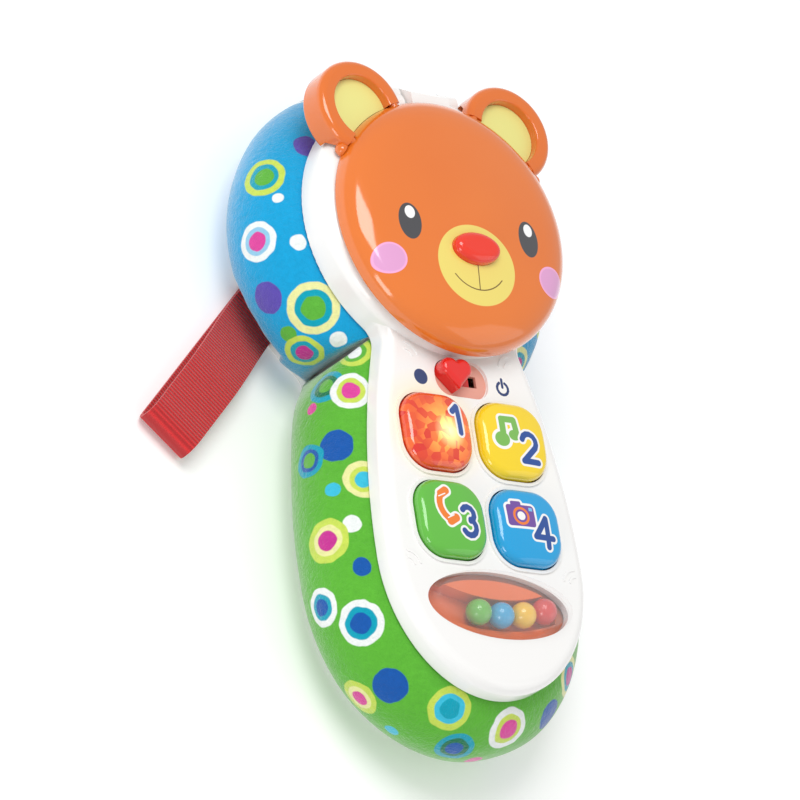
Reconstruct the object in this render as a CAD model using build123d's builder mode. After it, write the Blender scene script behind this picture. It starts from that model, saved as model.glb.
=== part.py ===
"""Toy cell phone: a plush-wrapped baby phone with a bear-face flap, four keys,
a slide switch, a rolling-bead window and a webbing strap.

Units are millimetres.  The phone lies on its back: Z = 0 is the floor under the
back plate, +Z comes out of the face, +Y runs from the bead end to the head end.
"""
import os
from math import acos, asin, atan2, cos, degrees, hypot, pi, radians, sin, sqrt, tan

from build123d import *

os.makedirs("parts", exist_ok=True)

# ----------------------------------------------------------------- driving sizes
# plan outline of the case
HEAD_R = 40.4
HEAD_Y = 53.0
BODY_HALF = 33.2
BODY_END_B = 39.0
BODY_Y = -47.0
SIDE_R = 211.0
NECK_FILLET = 6.0
# heights
PLATE_T = 2.6
SKIRT_Z = 34.0
PANEL_Z = 42.0
PANEL_T = 2.0
HEAD_TOP_Z = 46.0
HEAD_TOP_T = 2.2
WALL = 2.0
TOP_EDGE_R = 3.4
HEAD_EDGE_R = 5.0
# clearances
GAP = 0.1
JOINT_GAP = 0.2
SOFT_GAP = 0.35
KEY_GAP = 0.4
RUN_GAP = 0.05
# tub and skirt
SKIRT_IN = 5.0
SKIRT_T = 1.8
SKIRT_LOW = 20.0
TUB_T = 2.0
TUB_TOP = 25.5
TUB_IN = SKIRT_IN + SKIRT_T + JOINT_GAP
# plush
PLUSH_BULGE = 10.6
PLUSH_IN = SKIRT_IN - SOFT_GAP
PLUSH_LIP = 0.8
PLUSH_LOW = PLATE_T + SOFT_GAP
PLUSH_TOP = SKIRT_Z - SOFT_GAP
# keys
KEY_PITCH = 26.0
KEY_SIZE = 22.5
KEY_R = 8.0
KEY_Y = -24.5
KEY_TOP = 46.2
KEY_TRAVEL = 1.8
KEY_WALL = 1.6
KEY_FLANGE = 24.4
RIM_W = 0.9
RIM_H = 0.6
# slide switch
SLOT_Y = 6.3
SLOT_LEN = 18.4
SLOT_W = 11.0
HEART_A = 5.9
HEART_TRAVEL = 7.0
HEART_TOP = 46.0
# bead window
WIN_A = 23.9
WIN_B = 9.6
WIN_Y = -61.0
WIN_TOP = 46.0
WIN_T = 1.5
BEAD_D = 7.4
BEAD_STEP = 7.75
BEAD_ARC_R = 58.0
BEAD_ARC_Y = -4.9
BEAD_FIRST = -5.6
TRAY_FLOOR = 36.2
# flap
FACE_R = 38.2
FACE_Y = 49.6
FACE_Z = 46.6
FACE_H = 10.5
FACE_T = 1.8
SHOULDER = 10.4
NOSE_Y = 39.2
EAR_X = 25.7
EAR_Y = 82.2
EAR_R = 14.5
EAR_IN_R = 9.6
EAR_TOP = 50.2
EAR_LOW = 41.0
EAR_CLEAR_CHAMFER = 2.6
HINGE_Y = 91.6
HINGE_Z = 41.6
KNUCKLE_R = 3.0
PIN_D = 2.5
ARM_HALF = 6.6
KNUCKLE_END = 13.0
# back details
SPEAKER_Y = 52.0
SPEAKER_R = 17.5
CELL_D = 10.5
CELL_L = 44.5
CELL_X = 5.9
CELL_Y = -35.0
CELL_Z = 9.0
BOARD_Z = 28.0
BOARD_T = 1.6
MAT_T = 1.4
DOOR_SCREW_Y = CELL_Y - CELL_L / 2 - 7.2
DOOR_Y = CELL_Y - 3.5
DOOR_L = CELL_L + 19.0
CASE_SCREWS = ((-22.0, 71.0), (22.0, 71.0), (-12.4, 22.0), (12.4, 22.0), (0.0, -75.0))
BOARD_SCREWS = ((0.0, KEY_Y), (-14.0, 11.6), (14.0, 11.6), (-24.2, -51.4), (24.2, -51.4))
# strap
STRAP_W = 16.0
STRAP_T = 1.2
STRAP_LEN = 66.0
STRAP_DIR = 227.0
BAR_D = 2.4
BAR_X = -30.5
BAR_Y = 44.6
STRAP_REST = 0.1
STRAP_GAP = 5.6
STRAP_LIFT = 12.0

BAR_Z = STRAP_REST + STRAP_T + 0.15 + BAR_D / 2


def save(builder, name):
    builder.part.label = name
    export_step(builder.part, f"parts/{name}.step")


def side_point(inset, y):
    r = SIDE_R - inset
    a = asin((y - BODY_Y) / r)
    return (BODY_HALF - SIDE_R + r * cos(a), y)


def outline(inset):
    """Plan outline of the whole case, moved inward by inset."""
    top = 30.0
    a = BODY_HALF - inset
    b = BODY_END_B - inset
    mid = (BODY_Y + top) / 2
    with BuildSketch() as plan:
        with BuildLine():
            EllipticalCenterArc((0, BODY_Y), a, b, start_angle=180, arc_size=180)
            right = side_point(inset, top)
            ThreePointArc((a, BODY_Y), side_point(inset, mid), right)
            Line(right, (-right[0], top))
            left_mid = side_point(inset, mid)
            ThreePointArc((-right[0], top), (-left_mid[0], mid), (-a, BODY_Y))
        make_face()
        with Locations((0, HEAD_Y)):
            Circle(HEAD_R - inset)
        necks = [v for v in plan.vertices() if 5 < v.Y < 29 and abs(v.X) > 5]
        fillet(necks, NECK_FILLET + inset)
    return plan.sketch


def plan_at(inset, z):
    return Plane.XY.offset(z) * outline(inset)


def dome(inset, low=FACE_Z):
    """Face dome moved inward by inset: a shallow crown arc that runs into a round shoulder."""
    r = FACE_R - inset
    h = FACE_H - inset
    a = r - SHOULDER
    drop = 0.2 * h
    crown_r = (a**2 + drop**2) / (2 * drop)
    fall = a / sqrt(crown_r**2 - a**2)
    half = crown_r - sqrt(crown_r**2 - a**2 / 4)
    join = (a, FACE_Z + h - drop)
    with BuildPart() as d:
        with BuildSketch(Plane.XZ):
            with BuildLine():
                Line((0, low), (r, low))
                if low < FACE_Z:
                    Line((r, low), (r, FACE_Z))
                Bezier(
                    (r, FACE_Z),
                    (r - 0.2, FACE_Z + 0.53 * h),
                    (a + 5.8, join[1] - 5.8 * fall),
                    join,
                )
                ThreePointArc(join, (a / 2, FACE_Z + h - half), (0, FACE_Z + h))
                Line((0, FACE_Z + h), (0, low))
            make_face()
        revolve(axis=Axis.Z)
    return d.part.moved(Location((0, FACE_Y, 0)))


def screw(z_head, z_tip, head_r, shank_r, up=True):
    """A pan-head self-tapping screw with a cross recess; the head is at z_head."""
    s = 1 if up else -1
    head_t = head_r * 0.75
    with BuildPart() as sc:
        with BuildSketch(Plane.XY.offset(z_head)):
            Circle(head_r)
        extrude(amount=s * head_t)
        rim = sc.edges().sort_by(Axis.Z)[0 if up else -1]
        fillet(rim, head_r * 0.3)
        with BuildSketch(Plane.XY.offset(z_head)):
            Rectangle(head_r * 1.1, head_r * 0.26)
            Rectangle(head_r * 0.26, head_r * 1.1)
        extrude(amount=s * head_t * 0.55, mode=Mode.SUBTRACT)
        with BuildSketch(Plane.XY.offset(z_head + s * head_t)):
            Circle(shank_r)
        extrude(amount=abs(z_tip - z_head) * s - s * head_t)
        tip = sc.edges().sort_by(Axis.Z)[-1 if up else 0]
        chamfer(tip, shank_r * 0.45)
    return sc.part


# ---------------------------------------------------------------- strap geometry
strap_u = (cos(radians(STRAP_DIR)), sin(radians(STRAP_DIR)))
# X of this plane runs along the bar, Y along the strap, Z up
STRAP_PLANE = Plane(
    origin=(BAR_X, BAR_Y, 0),
    x_dir=(strap_u[1], -strap_u[0], 0),
    z_dir=(0, 0, 1),
)


def strap_box(along_from, along_to, half_width, z_low, z_high):
    with BuildPart() as box:
        with BuildSketch(STRAP_PLANE.offset(z_low)):
            with Locations((0, (along_from + along_to) / 2)):
                Rectangle(2 * half_width, along_to - along_from)
        extrude(amount=z_high - z_low)
    return box.part


# X of this plane runs along the strap, Y up, and it is extruded across the strap
STRAP_SIDE = Plane(
    origin=(BAR_X, BAR_Y, 0),
    x_dir=(strap_u[0], strap_u[1], 0),
    z_dir=(strap_u[1], -strap_u[0], 0),
)
POCKET_Z = 6.0
LUG_HALF = STRAP_W / 2 + 0.6
LUG_OUT = LUG_HALF + 2.4

# ------------------------------------------------------------------ rear housing
with BuildPart() as rear_housing:
    add(plan_at(0.6, 0))
    extrude(amount=PLATE_T)
    fillet(rear_housing.edges().group_by(Axis.Z)[0], 0.9)
    fillet(rear_housing.edges().group_by(Axis.Z)[-1], 0.6)
    add(plan_at(TUB_IN, PLATE_T - 0.5))
    extrude(amount=TUB_TOP - PLATE_T + 0.5)
    add(plan_at(TUB_IN + TUB_T, PLATE_T))
    extrude(amount=TUB_TOP - PLATE_T + 1, mode=Mode.SUBTRACT)
    # battery box
    with BuildSketch(Plane.XY.offset(PLATE_T - 0.4)):
        with Locations((0, CELL_Y)):
            Rectangle(4 * CELL_X + 5.4, CELL_L + 7.6)
    extrude(amount=CELL_Z + CELL_D / 2 + 2.2 - PLATE_T)
    with BuildSketch(Plane.XY.offset(-1)):
        with Locations((0, CELL_Y)):
            Rectangle(4 * CELL_X + 2.2, CELL_L + 4.4)
    extrude(amount=CELL_Z + CELL_D / 2 + 1.4, mode=Mode.SUBTRACT)
    # rebate for the battery door
    with BuildSketch(Plane.XY):
        with Locations((0, DOOR_Y)):
            RectangleRounded(4 * CELL_X + 5.4, DOOR_L, 3)
    extrude(amount=1.7, mode=Mode.SUBTRACT)
    # boss for the door screw
    with BuildSketch(Plane.XY.offset(1.7)):
        with Locations((0, DOOR_SCREW_Y)):
            Circle(4.0)
    extrude(amount=9)
    with BuildSketch(Plane.XY.offset(-1)):
        with Locations((0, DOOR_SCREW_Y)):
            Circle(3.05)
    extrude(amount=4.2, mode=Mode.SUBTRACT)
    with BuildSketch(Plane.XY.offset(3)):
        with Locations((0, DOOR_SCREW_Y)):
            Circle(1.02)
    extrude(amount=6.6, mode=Mode.SUBTRACT)
    # wire holes through the end of the battery box
    for wire_x in (-CELL_X, CELL_X):
        with BuildSketch(Plane.XZ.offset(-(CELL_Y + CELL_L / 2 + 5))):
            with Locations((wire_x, 11.0)):
                Circle(0.9)
        extrude(amount=4.2, mode=Mode.SUBTRACT)
    # speaker seat and grille
    with BuildSketch(Plane.XY.offset(PLATE_T - 0.3)):
        with Locations((0, SPEAKER_Y)):
            Circle(SPEAKER_R + 1.8)
            Circle(SPEAKER_R + 0.2, mode=Mode.SUBTRACT)
    extrude(amount=3.2)
    with BuildSketch(Plane.XY.offset(-0.5)):
        for ring, count in ((0.0, 1), (3.6, 6), (7.2, 12), (10.8, 18)):
            with Locations((0, SPEAKER_Y)):
                with PolarLocations(ring, count):
                    Circle(0.9)
    extrude(amount=PLATE_T + 1, mode=Mode.SUBTRACT)
    # clamp posts beside the speaker
    with BuildSketch(Plane.XY.offset(PLATE_T - 0.3)):
        with Locations((-22.4, SPEAKER_Y + 6), (22.4, SPEAKER_Y + 6)):
            Circle(2.4)
    extrude(amount=4.4)
    with BuildSketch(Plane.XY.offset(PLATE_T + 0.4)):
        with Locations((-22.4, SPEAKER_Y + 6), (22.4, SPEAKER_Y + 6)):
            Circle(0.82)
    extrude(amount=5, mode=Mode.SUBTRACT)
    # tubes for the case screws
    with BuildSketch(Plane.XY.offset(PLATE_T - 0.4)):
        with Locations(*CASE_SCREWS):
            Circle(3.6)
    extrude(amount=SKIRT_LOW - 0.2 - PLATE_T + 0.4)
    with BuildSketch(Plane.XY.offset(-1)):
        with Locations(*CASE_SCREWS):
            Circle(2.6)
    extrude(amount=SKIRT_LOW - 2.8, mode=Mode.SUBTRACT)
    with BuildSketch(Plane.XY.offset(5)):
        with Locations(*CASE_SCREWS):
            Circle(1.5)
    extrude(amount=SKIRT_LOW, mode=Mode.SUBTRACT)
    # room for the bosses that come down from the front
    with BuildSketch(Plane.XY.offset(SKIRT_LOW - 0.2)):
        with Locations(*CASE_SCREWS):
            Circle(3.2)
    extrude(amount=12, mode=Mode.SUBTRACT)
    # strap pocket with its two lugs
    tub_core = extrude(plan_at(TUB_IN + 0.5, 0), amount=POCKET_Z + 3, mode=Mode.PRIVATE)
    add(strap_box(-5.4, 20, LUG_OUT + 1.4, PLATE_T - 0.5, POCKET_Z + 1.6) & tub_core)
    add(strap_box(-4.0, 30, LUG_OUT, PLATE_T, POCKET_Z), mode=Mode.SUBTRACT)
    add(strap_box(-4.0, 30, LUG_HALF, -1, POCKET_Z), mode=Mode.SUBTRACT)
    for lug_side in (-1, 1):
        lug_mid = lug_side * (LUG_HALF + LUG_OUT) / 2
        with BuildSketch(STRAP_PLANE.offset(PLATE_T - 0.4)):
            with Locations((lug_mid, 0)):
                Rectangle(LUG_OUT - LUG_HALF, 5.0)
        extrude(amount=POCKET_Z - 0.9 - PLATE_T + 0.4)

BAR_PLANE = Plane(
    origin=(BAR_X, BAR_Y, BAR_Z),
    x_dir=(0, 0, 1),
    z_dir=(strap_u[1], -strap_u[0], 0),
)
with BuildPart() as strap_bar:
    with BuildSketch(BAR_PLANE.offset(-(LUG_OUT - 0.6))):
        Circle(BAR_D / 2)
    extrude(amount=2 * (LUG_OUT - 0.6))
with BuildPart(mode=Mode.PRIVATE) as bar_bore:
    with BuildSketch(BAR_PLANE.offset(-(LUG_OUT - 0.6 + 0.02))):
        Circle(BAR_D / 2 + 0.02)
    extrude(amount=2 * (LUG_OUT - 0.6 + 0.02))
rear_part = rear_housing.part - bar_bore.part
with BuildPart() as rear_final:
    add(rear_part)
save(rear_final, "rear_housing")
save(strap_bar, "strap_bar")

# --------------------------------------------------------------- front housing
hinge_plane = Plane(origin=(0, HINGE_Y, HINGE_Z), x_dir=(0, 1, 0), z_dir=(1, 0, 0))

with BuildPart() as head_form:
    with BuildSketch(Plane.XY.offset(SKIRT_Z)):
        with Locations((0, HEAD_Y)):
            Circle(HEAD_R)
    extrude(amount=HEAD_TOP_Z - SKIRT_Z)
    fillet(head_form.edges().group_by(Axis.Z)[-1], HEAD_EDGE_R)

with BuildPart() as front_housing:
    add(plan_at(0, SKIRT_Z))
    extrude(amount=PANEL_Z - SKIRT_Z)
    fillet(front_housing.edges().group_by(Axis.Z)[-1], TOP_EDGE_R)
    add(head_form.part)
    fillet(front_housing.edges().group_by(Axis.Z)[0], 0.5)
    add(plan_at(WALL, SKIRT_Z - 1))
    extrude(amount=PANEL_Z - PANEL_T - SKIRT_Z + 1, mode=Mode.SUBTRACT)
    with BuildSketch(Plane.XY.offset(SKIRT_Z)):
        with Locations((0, HEAD_Y)):
            Circle(HEAD_R - HEAD_EDGE_R - 0.8)
    extrude(amount=HEAD_TOP_Z - HEAD_TOP_T - SKIRT_Z, mode=Mode.SUBTRACT)
    # inner skirt that slides over the tub
    skirt_ring = extrude(
        plan_at(SKIRT_IN, SKIRT_LOW), amount=PANEL_Z - 1 - SKIRT_LOW, mode=Mode.PRIVATE
    ) - extrude(
        plan_at(SKIRT_IN + SKIRT_T, SKIRT_LOW - 1),
        amount=PANEL_Z + 4 - SKIRT_LOW,
        mode=Mode.PRIVATE,
    )
    add(skirt_ring)
    # screw bosses
    with BuildSketch(Plane.XY.offset(SKIRT_LOW)):
        with Locations(*CASE_SCREWS):
            Circle(3.0)
    extrude(amount=PANEL_Z - 1 - SKIRT_LOW)
    with BuildSketch(Plane.XY.offset(PANEL_Z - 3)):
        with Locations(*CASE_SCREWS[:2]):
            Circle(3.0)
    extrude(amount=HEAD_TOP_Z - 1.2 - PANEL_Z + 3)
    with BuildSketch(Plane.XY.offset(SKIRT_LOW - 1)):
        with Locations(*CASE_SCREWS):
            Circle(1.22)
    extrude(amount=14, mode=Mode.SUBTRACT)
    with BuildSketch(Plane.XY.offset(BOARD_Z + BOARD_T + GAP)):
        with Locations(*BOARD_SCREWS):
            Circle(2.3)
    extrude(amount=PANEL_Z - 1 - BOARD_Z - BOARD_T)
    with BuildSketch(Plane.XY.offset(BOARD_Z)):
        with Locations(*BOARD_SCREWS):
            Circle(0.92)
    extrude(amount=8, mode=Mode.SUBTRACT)
    # the skirt makes room for the key flanges and the bead tray
    with BuildSketch(Plane.XY.offset(PANEL_Z - PANEL_T - 3.8)):
        with Locations((0, KEY_Y)):
            with GridLocations(KEY_PITCH, KEY_PITCH, 2, 2):
                RectangleRounded(KEY_FLANGE + 0.8, KEY_FLANGE + 0.8, KEY_R)
    extrude(amount=3.8, mode=Mode.SUBTRACT)
    with BuildSketch(Plane.XY.offset(TRAY_FLOOR - 1.6)):
        with Locations((0, WIN_Y)):
            Ellipse(WIN_A + 1.7, WIN_B + 1.4)
    extrude(amount=PANEL_Z - PANEL_T - TRAY_FLOOR + 1.6, mode=Mode.SUBTRACT)
    # key openings with raised rims
    with BuildSketch(Plane.XY.offset(PANEL_Z - 0.5)):
        with Locations((0, KEY_Y)):
            with GridLocations(KEY_PITCH, KEY_PITCH, 2, 2):
                rim_out = KEY_SIZE + 2 * (KEY_GAP + RIM_W)
                RectangleRounded(rim_out, rim_out, KEY_R + KEY_GAP + RIM_W)
    extrude(amount=RIM_H + 0.5)
    with BuildSketch(Plane.XY.offset(PANEL_Z - PANEL_T - 1)):
        with Locations((0, KEY_Y)):
            with GridLocations(KEY_PITCH, KEY_PITCH, 2, 2):
                opening = KEY_SIZE + 2 * KEY_GAP
                RectangleRounded(opening, opening, KEY_R + KEY_GAP)
    extrude(amount=PANEL_T + 4, mode=Mode.SUBTRACT)
    # switch recess and slot
    with BuildSketch(Plane.XY.offset(PANEL_Z - 1.0)):
        with Locations((0, SLOT_Y)):
            RectangleRounded(SLOT_LEN, SLOT_W, 4.9)
    extrude(amount=6, mode=Mode.SUBTRACT)
    with BuildSketch(Plane.XY.offset(PANEL_Z - PANEL_T - 1)):
        with Locations((0, SLOT_Y)):
            Rectangle(HEART_TRAVEL + 4.6, 3.4)
    extrude(amount=6, mode=Mode.SUBTRACT)
    # bead window opening
    with BuildSketch(Plane.XY.offset(PANEL_Z - PANEL_T - 1)):
        with Locations((0, WIN_Y)):
            Ellipse(WIN_A + GAP, WIN_B + GAP)
    extrude(amount=PANEL_T + 4, mode=Mode.SUBTRACT)
    # mirror recess
    with BuildSketch(Plane.XY.offset(HEAD_TOP_Z - 1.3)):
        with Locations((0, FACE_Y - 1)):
            Ellipse(27.0, 25.0)
    extrude(amount=3, mode=Mode.SUBTRACT)
    # hinge: notch for the arm, two knuckles, bore
    with BuildSketch(Plane.YZ.offset(-ARM_HALF - 0.5)):
        with BuildLine():
            Polyline(
                (84.6, HEAD_TOP_Z + 1),
                (84.6, HEAD_TOP_Z - 0.3),
                (HINGE_Y - 3.6, HINGE_Z + 2.6),
                (HINGE_Y - 3.6, HINGE_Z - 3.5),
                (HINGE_Y + 6, HINGE_Z - 3.5),
                (HINGE_Y + 6, HEAD_TOP_Z + 1),
                close=True,
            )
        make_face()
    extrude(amount=2 * ARM_HALF + 1.0, mode=Mode.SUBTRACT)
    for knuckle_x in (-KNUCKLE_END, ARM_HALF + 0.5):
        with BuildSketch(hinge_plane.offset(knuckle_x)):
            Circle(KNUCKLE_R)
        extrude(amount=KNUCKLE_END - ARM_HALF - 0.5)
    with BuildSketch(hinge_plane.offset(-KNUCKLE_END)):
        Circle(PIN_D / 2 + 0.02)
    extrude(amount=2 * KNUCKLE_END, mode=Mode.SUBTRACT)
    # shallow raised double arcs beside the switch and above the window
    with BuildSketch(Plane.XY.offset(PANEL_Z - 0.2)):
        for mark_x, mark_y, turn in (
            (-18.4, 11.0, 50),
            (18.4, 11.0, 130),
            (-29.0, -52.0, 50),
            (29.0, -52.0, 130),
        ):
            with Locations(Location((mark_x, mark_y, 0), (0, 0, turn))):
                for mark_r in (2.4, 4.4):
                    SlotArc(CenterArc((0, 0), mark_r, -35, 70), 0.7)
    extrude(amount=0.45)
save(front_housing, "front_housing")

with BuildPart() as hinge_pin:
    with BuildSketch(hinge_plane.offset(-KNUCKLE_END + 0.3)):
        Circle(PIN_D / 2)
    extrude(amount=2 * KNUCKLE_END - 0.6)
    chamfer(hinge_pin.edges().group_by(Axis.X)[0], 0.3)
    chamfer(hinge_pin.edges().group_by(Axis.X)[-1], 0.3)
save(hinge_pin, "hinge_pin")

with BuildPart() as peek_mirror:
    with BuildSketch(Plane.XY.offset(HEAD_TOP_Z - 1.3 + 0.02)):
        with Locations((0, FACE_Y - 1)):
            Ellipse(27.0 - GAP, 25.0 - GAP)
    extrude(amount=1.1)
    chamfer(peek_mirror.edges().group_by(Axis.Z)[-1], 0.3)
save(peek_mirror, "mirror")

# ------------------------------------------------------------------------- plush
bulge_mid_z = (PLUSH_LOW + PLUSH_TOP) / 2


def plush_section(x0):
    """Cross-section of the padding; X is outward, x0 is at the case outline."""
    with BuildSketch() as section:
        with BuildLine():
            Line((x0 - PLUSH_IN, PLUSH_LOW), (x0 - PLUSH_IN, PLUSH_TOP))
            Line((x0 - PLUSH_IN, PLUSH_TOP), (x0 - PLUSH_LIP, PLUSH_TOP))
            ThreePointArc(
                (x0 - PLUSH_LIP, PLUSH_TOP),
                (x0 + PLUSH_BULGE, bulge_mid_z),
                (x0 - PLUSH_LIP, PLUSH_LOW),
            )
            Line((x0 - PLUSH_LIP, PLUSH_LOW), (x0 - PLUSH_IN, PLUSH_LOW))
        make_face()
    return section.sketch


SEAM_X = 20.0
SEAM_Y = 21.0
SEAM_SLOPE = 0.50


def body_side(gap):
    """Everything on the body side of the neck seam, as a thick wedge."""
    far = 80.0
    with BuildPart() as wedge:
        with BuildSketch(Plane.XY.offset(-5)):
            with BuildLine():
                Polyline(
                    (-SEAM_X, SEAM_Y - gap),
                    (-far, SEAM_Y - gap - SEAM_SLOPE * (far - SEAM_X)),
                    (-far, -130),
                    (far, -130),
                    (far, SEAM_Y - gap - SEAM_SLOPE * (far - SEAM_X)),
                    (SEAM_X, SEAM_Y - gap),
                    close=True,
                )
            make_face()
        extrude(amount=60)
    return wedge.part


core = extrude(plan_at(PLUSH_IN, -2), amount=50)

with BuildPart() as plush_head:
    with BuildSketch(Plane.XZ):
        add(plush_section(HEAD_R))
    revolve(axis=Axis.Z)
plush_head_solid = plush_head.part.moved(Location((0, HEAD_Y, 0)))
plush_head_solid = plush_head_solid - body_side(-0.2) - core
plush_head_solid -= strap_box(-6, 8, LUG_OUT + 0.6, 0, POCKET_Z + 0.6)
rise = tan(radians(STRAP_LIFT + 1.5))
with BuildPart(mode=Mode.PRIVATE) as strap_relief:
    with BuildSketch(STRAP_SIDE.offset(-STRAP_W / 2 - 0.8)):
        with BuildLine():
            Polyline(
                (0, -1),
                (0, POCKET_Z + 0.6),
                (5, BAR_Z + 2.9 + 5 * rise),
                (34, BAR_Z + 1.0 + 34 * rise),
                (34, -1),
                close=True,
            )
        make_face()
    extrude(amount=STRAP_W + 1.6)
plush_head_solid -= strap_relief.part
with BuildPart() as plush_head_final:
    add(plush_head_solid)
save(plush_head_final, "plush_head")

path_top = 30.0
with BuildLine() as body_path:
    start = side_point(0, path_top)
    middle = side_point(0, (BODY_Y + path_top) / 2)
    ThreePointArc((-start[0], path_top), (-middle[0], middle[1]), (-BODY_HALF, BODY_Y))
    EllipticalCenterArc((0, BODY_Y), BODY_HALF, BODY_END_B, start_angle=180, arc_size=180)
    ThreePointArc((BODY_HALF, BODY_Y), middle, start)
path_wire = body_path.wire()
tangent = path_wire % 0
with BuildPart() as plush_body:
    with BuildSketch(
        Plane(
            origin=path_wire @ 0,
            x_dir=Vector(0, 0, 1).cross(tangent) * -1,
            z_dir=tangent * -1,
        )
    ):
        add(plush_section(0))
    sweep(path=path_wire)
plush_body_solid = (plush_body.part & body_side(0.2)) - core
with BuildPart() as plush_body_final:
    add(plush_body_solid)
save(plush_body_final, "plush_body")


# -------------------------------------------------------------------------- keys
def key_at(x, y):
    """A cushion-topped push key with a hollow cap, flange and plunger."""
    with BuildPart() as key:
        with BuildSketch(Plane.XY.offset(PANEL_Z - PANEL_T - GAP)):
            RectangleRounded(KEY_SIZE, KEY_SIZE, KEY_R)
        extrude(amount=KEY_TOP - PANEL_Z + PANEL_T + GAP)
        with Locations((0, 0, KEY_TOP - 62.0)):
            Sphere(62.0, mode=Mode.INTERSECT)
        crown = key.faces().sort_by(Axis.Z)[-1]
        fillet(crown.edges(), 2.4)
        with BuildSketch(Plane.XY.offset(PANEL_Z - PANEL_T - GAP)):
            RectangleRounded(KEY_FLANGE, KEY_FLANGE, KEY_R)
        extrude(amount=-1.4)
        inside = KEY_SIZE - 2 * KEY_WALL
        with BuildSketch(Plane.XY.offset(PANEL_Z - PANEL_T - GAP - 1.4)):
            RectangleRounded(inside, inside, KEY_R - KEY_WALL)
        extrude(amount=KEY_TOP - PANEL_Z + PANEL_T + 1.5 - 2.4, mode=Mode.SUBTRACT)
        with BuildSketch(Plane.XY.offset(KEY_TOP - 1.6)):
            Circle(2.6)
        extrude(amount=-(KEY_TOP - 1.6 - DOME_TOP - GAP))
    return key.part.moved(Location((x, y, 0)))


MAT_Z = BOARD_Z + BOARD_T + 0.02
DOME_TOP = 35.2
KEY_SPOTS = [
    (-KEY_PITCH / 2, KEY_Y + KEY_PITCH / 2),
    (KEY_PITCH / 2, KEY_Y + KEY_PITCH / 2),
    (-KEY_PITCH / 2, KEY_Y - KEY_PITCH / 2),
    (KEY_PITCH / 2, KEY_Y - KEY_PITCH / 2),
]
for number, (key_x, key_y) in enumerate(KEY_SPOTS, start=1):
    with BuildPart() as key_part:
        add(key_at(key_x, key_y))
    save(key_part, f"key_{number}")
    # collapsible rubber dome under the key
    with BuildPart() as dome_part:
        with BuildSketch(Plane.XZ):
            with BuildLine():
                Polyline(
                    (0, DOME_TOP),
                    (2.6, DOME_TOP),
                    (5.2, MAT_Z + MAT_T),
                    (6.2, MAT_Z + MAT_T),
                    (6.2, MAT_Z + 0.3),
                    (4.8, MAT_Z + 0.3),
                    (2.4, DOME_TOP - 1.2),
                    (2.0, DOME_TOP - 1.2),
                    (2.0, DOME_TOP - 2.2),
                    (0, DOME_TOP - 2.2),
                    close=True,
                )
            make_face()
        revolve(axis=Axis.Z)
    with BuildPart() as dome_placed:
        add(dome_part.part.moved(Location((key_x, key_y, 0))))
    save(dome_placed, f"key_dome_{number}")

# ---------------------------------------------------------- board and key membrane
board_face = plan_at(SKIRT_IN + SKIRT_T + 0.8, BOARD_Z)
with BuildPart(mode=Mode.PRIVATE) as board_zone:
    with BuildSketch(Plane.XY.offset(BOARD_Z - 1)):
        with Locations((0, -20.5)):
            Rectangle(80, 71)
    extrude(amount=8)
with BuildPart() as main_board:
    add(extrude(board_face, amount=BOARD_T, mode=Mode.PRIVATE) & board_zone.part)
    with BuildSketch(Plane.XY.offset(BOARD_Z - 1)):
        with Locations(*BOARD_SCREWS):
            Circle(1.5)
    extrude(amount=4, mode=Mode.SUBTRACT)
    # chip, blob and small parts on the underside
    with BuildSketch(Plane.XY.offset(BOARD_Z + 0.1)):
        with Locations((-9, -16)):
            Rectangle(11, 11)
        with Locations((10, -30), (14, -34), (6, -38), (-14, -40), (16, -8)):
            Rectangle(3.2, 1.8)
    extrude(amount=-1.7)
save(main_board, "main_board")

LED_X = -KEY_PITCH / 2 - 6.1
LED_Y = KEY_Y + KEY_PITCH / 2 + 6.1
with BuildPart() as keypad_membrane:
    with BuildSketch(Plane.XY.offset(MAT_Z)):
        with Locations((0, KEY_Y)):
            RectangleRounded(47, 49.6, 6)
            with GridLocations(KEY_PITCH, KEY_PITCH, 2, 2):
                Circle(6.3, mode=Mode.SUBTRACT)
            Circle(2.5, mode=Mode.SUBTRACT)
        with Locations((LED_X, LED_Y)):
            Circle(2.1, mode=Mode.SUBTRACT)
    extrude(amount=MAT_T)
    add(
        extrude(plan_at(SKIRT_IN + SKIRT_T + 0.8, MAT_Z - 1), amount=6, mode=Mode.PRIVATE),
        mode=Mode.INTERSECT,
    )
save(keypad_membrane, "keypad_membrane")

with BuildPart() as key_light:
    with BuildSketch(Plane.XY.offset(BOARD_Z + BOARD_T + 0.02)):
        with Locations((LED_X, LED_Y)):
            Circle(1.9)
    extrude(amount=0.9)
    with BuildSketch(Plane.XY.offset(BOARD_Z + BOARD_T + 0.5)):
        with Locations((LED_X, LED_Y)):
            Circle(1.5)
    extrude(amount=4.0)
    fillet(key_light.edges().group_by(Axis.Z)[-1], 1.3)
save(key_light, "key_light")

# -------------------------------------------------------------------- slide switch
SWITCH_TOP = BOARD_Z + BOARD_T + 4.2
with BuildPart() as slide_switch:
    with BuildSketch(Plane.XY.offset(BOARD_Z + BOARD_T + 0.02)):
        with Locations((0, SLOT_Y)):
            Rectangle(15.0, 5.4)
    extrude(amount=SWITCH_TOP - BOARD_Z - BOARD_T)
    with BuildSketch(Plane.XY.offset(SWITCH_TOP - 2.2)):
        with Locations((0, SLOT_Y)):
            Rectangle(HEART_TRAVEL + 2.6, 2.4)
    extrude(amount=4, mode=Mode.SUBTRACT)
save(slide_switch, "slide_switch")

heart_x = -HEART_TRAVEL / 2
with BuildPart() as switch_lever:
    with BuildSketch(Plane.XY.offset(SWITCH_TOP - 1.8)):
        with Locations((heart_x, SLOT_Y)):
            Rectangle(2.0, 2.0)
    extrude(amount=4.2)
save(switch_lever, "switch_lever")

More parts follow.
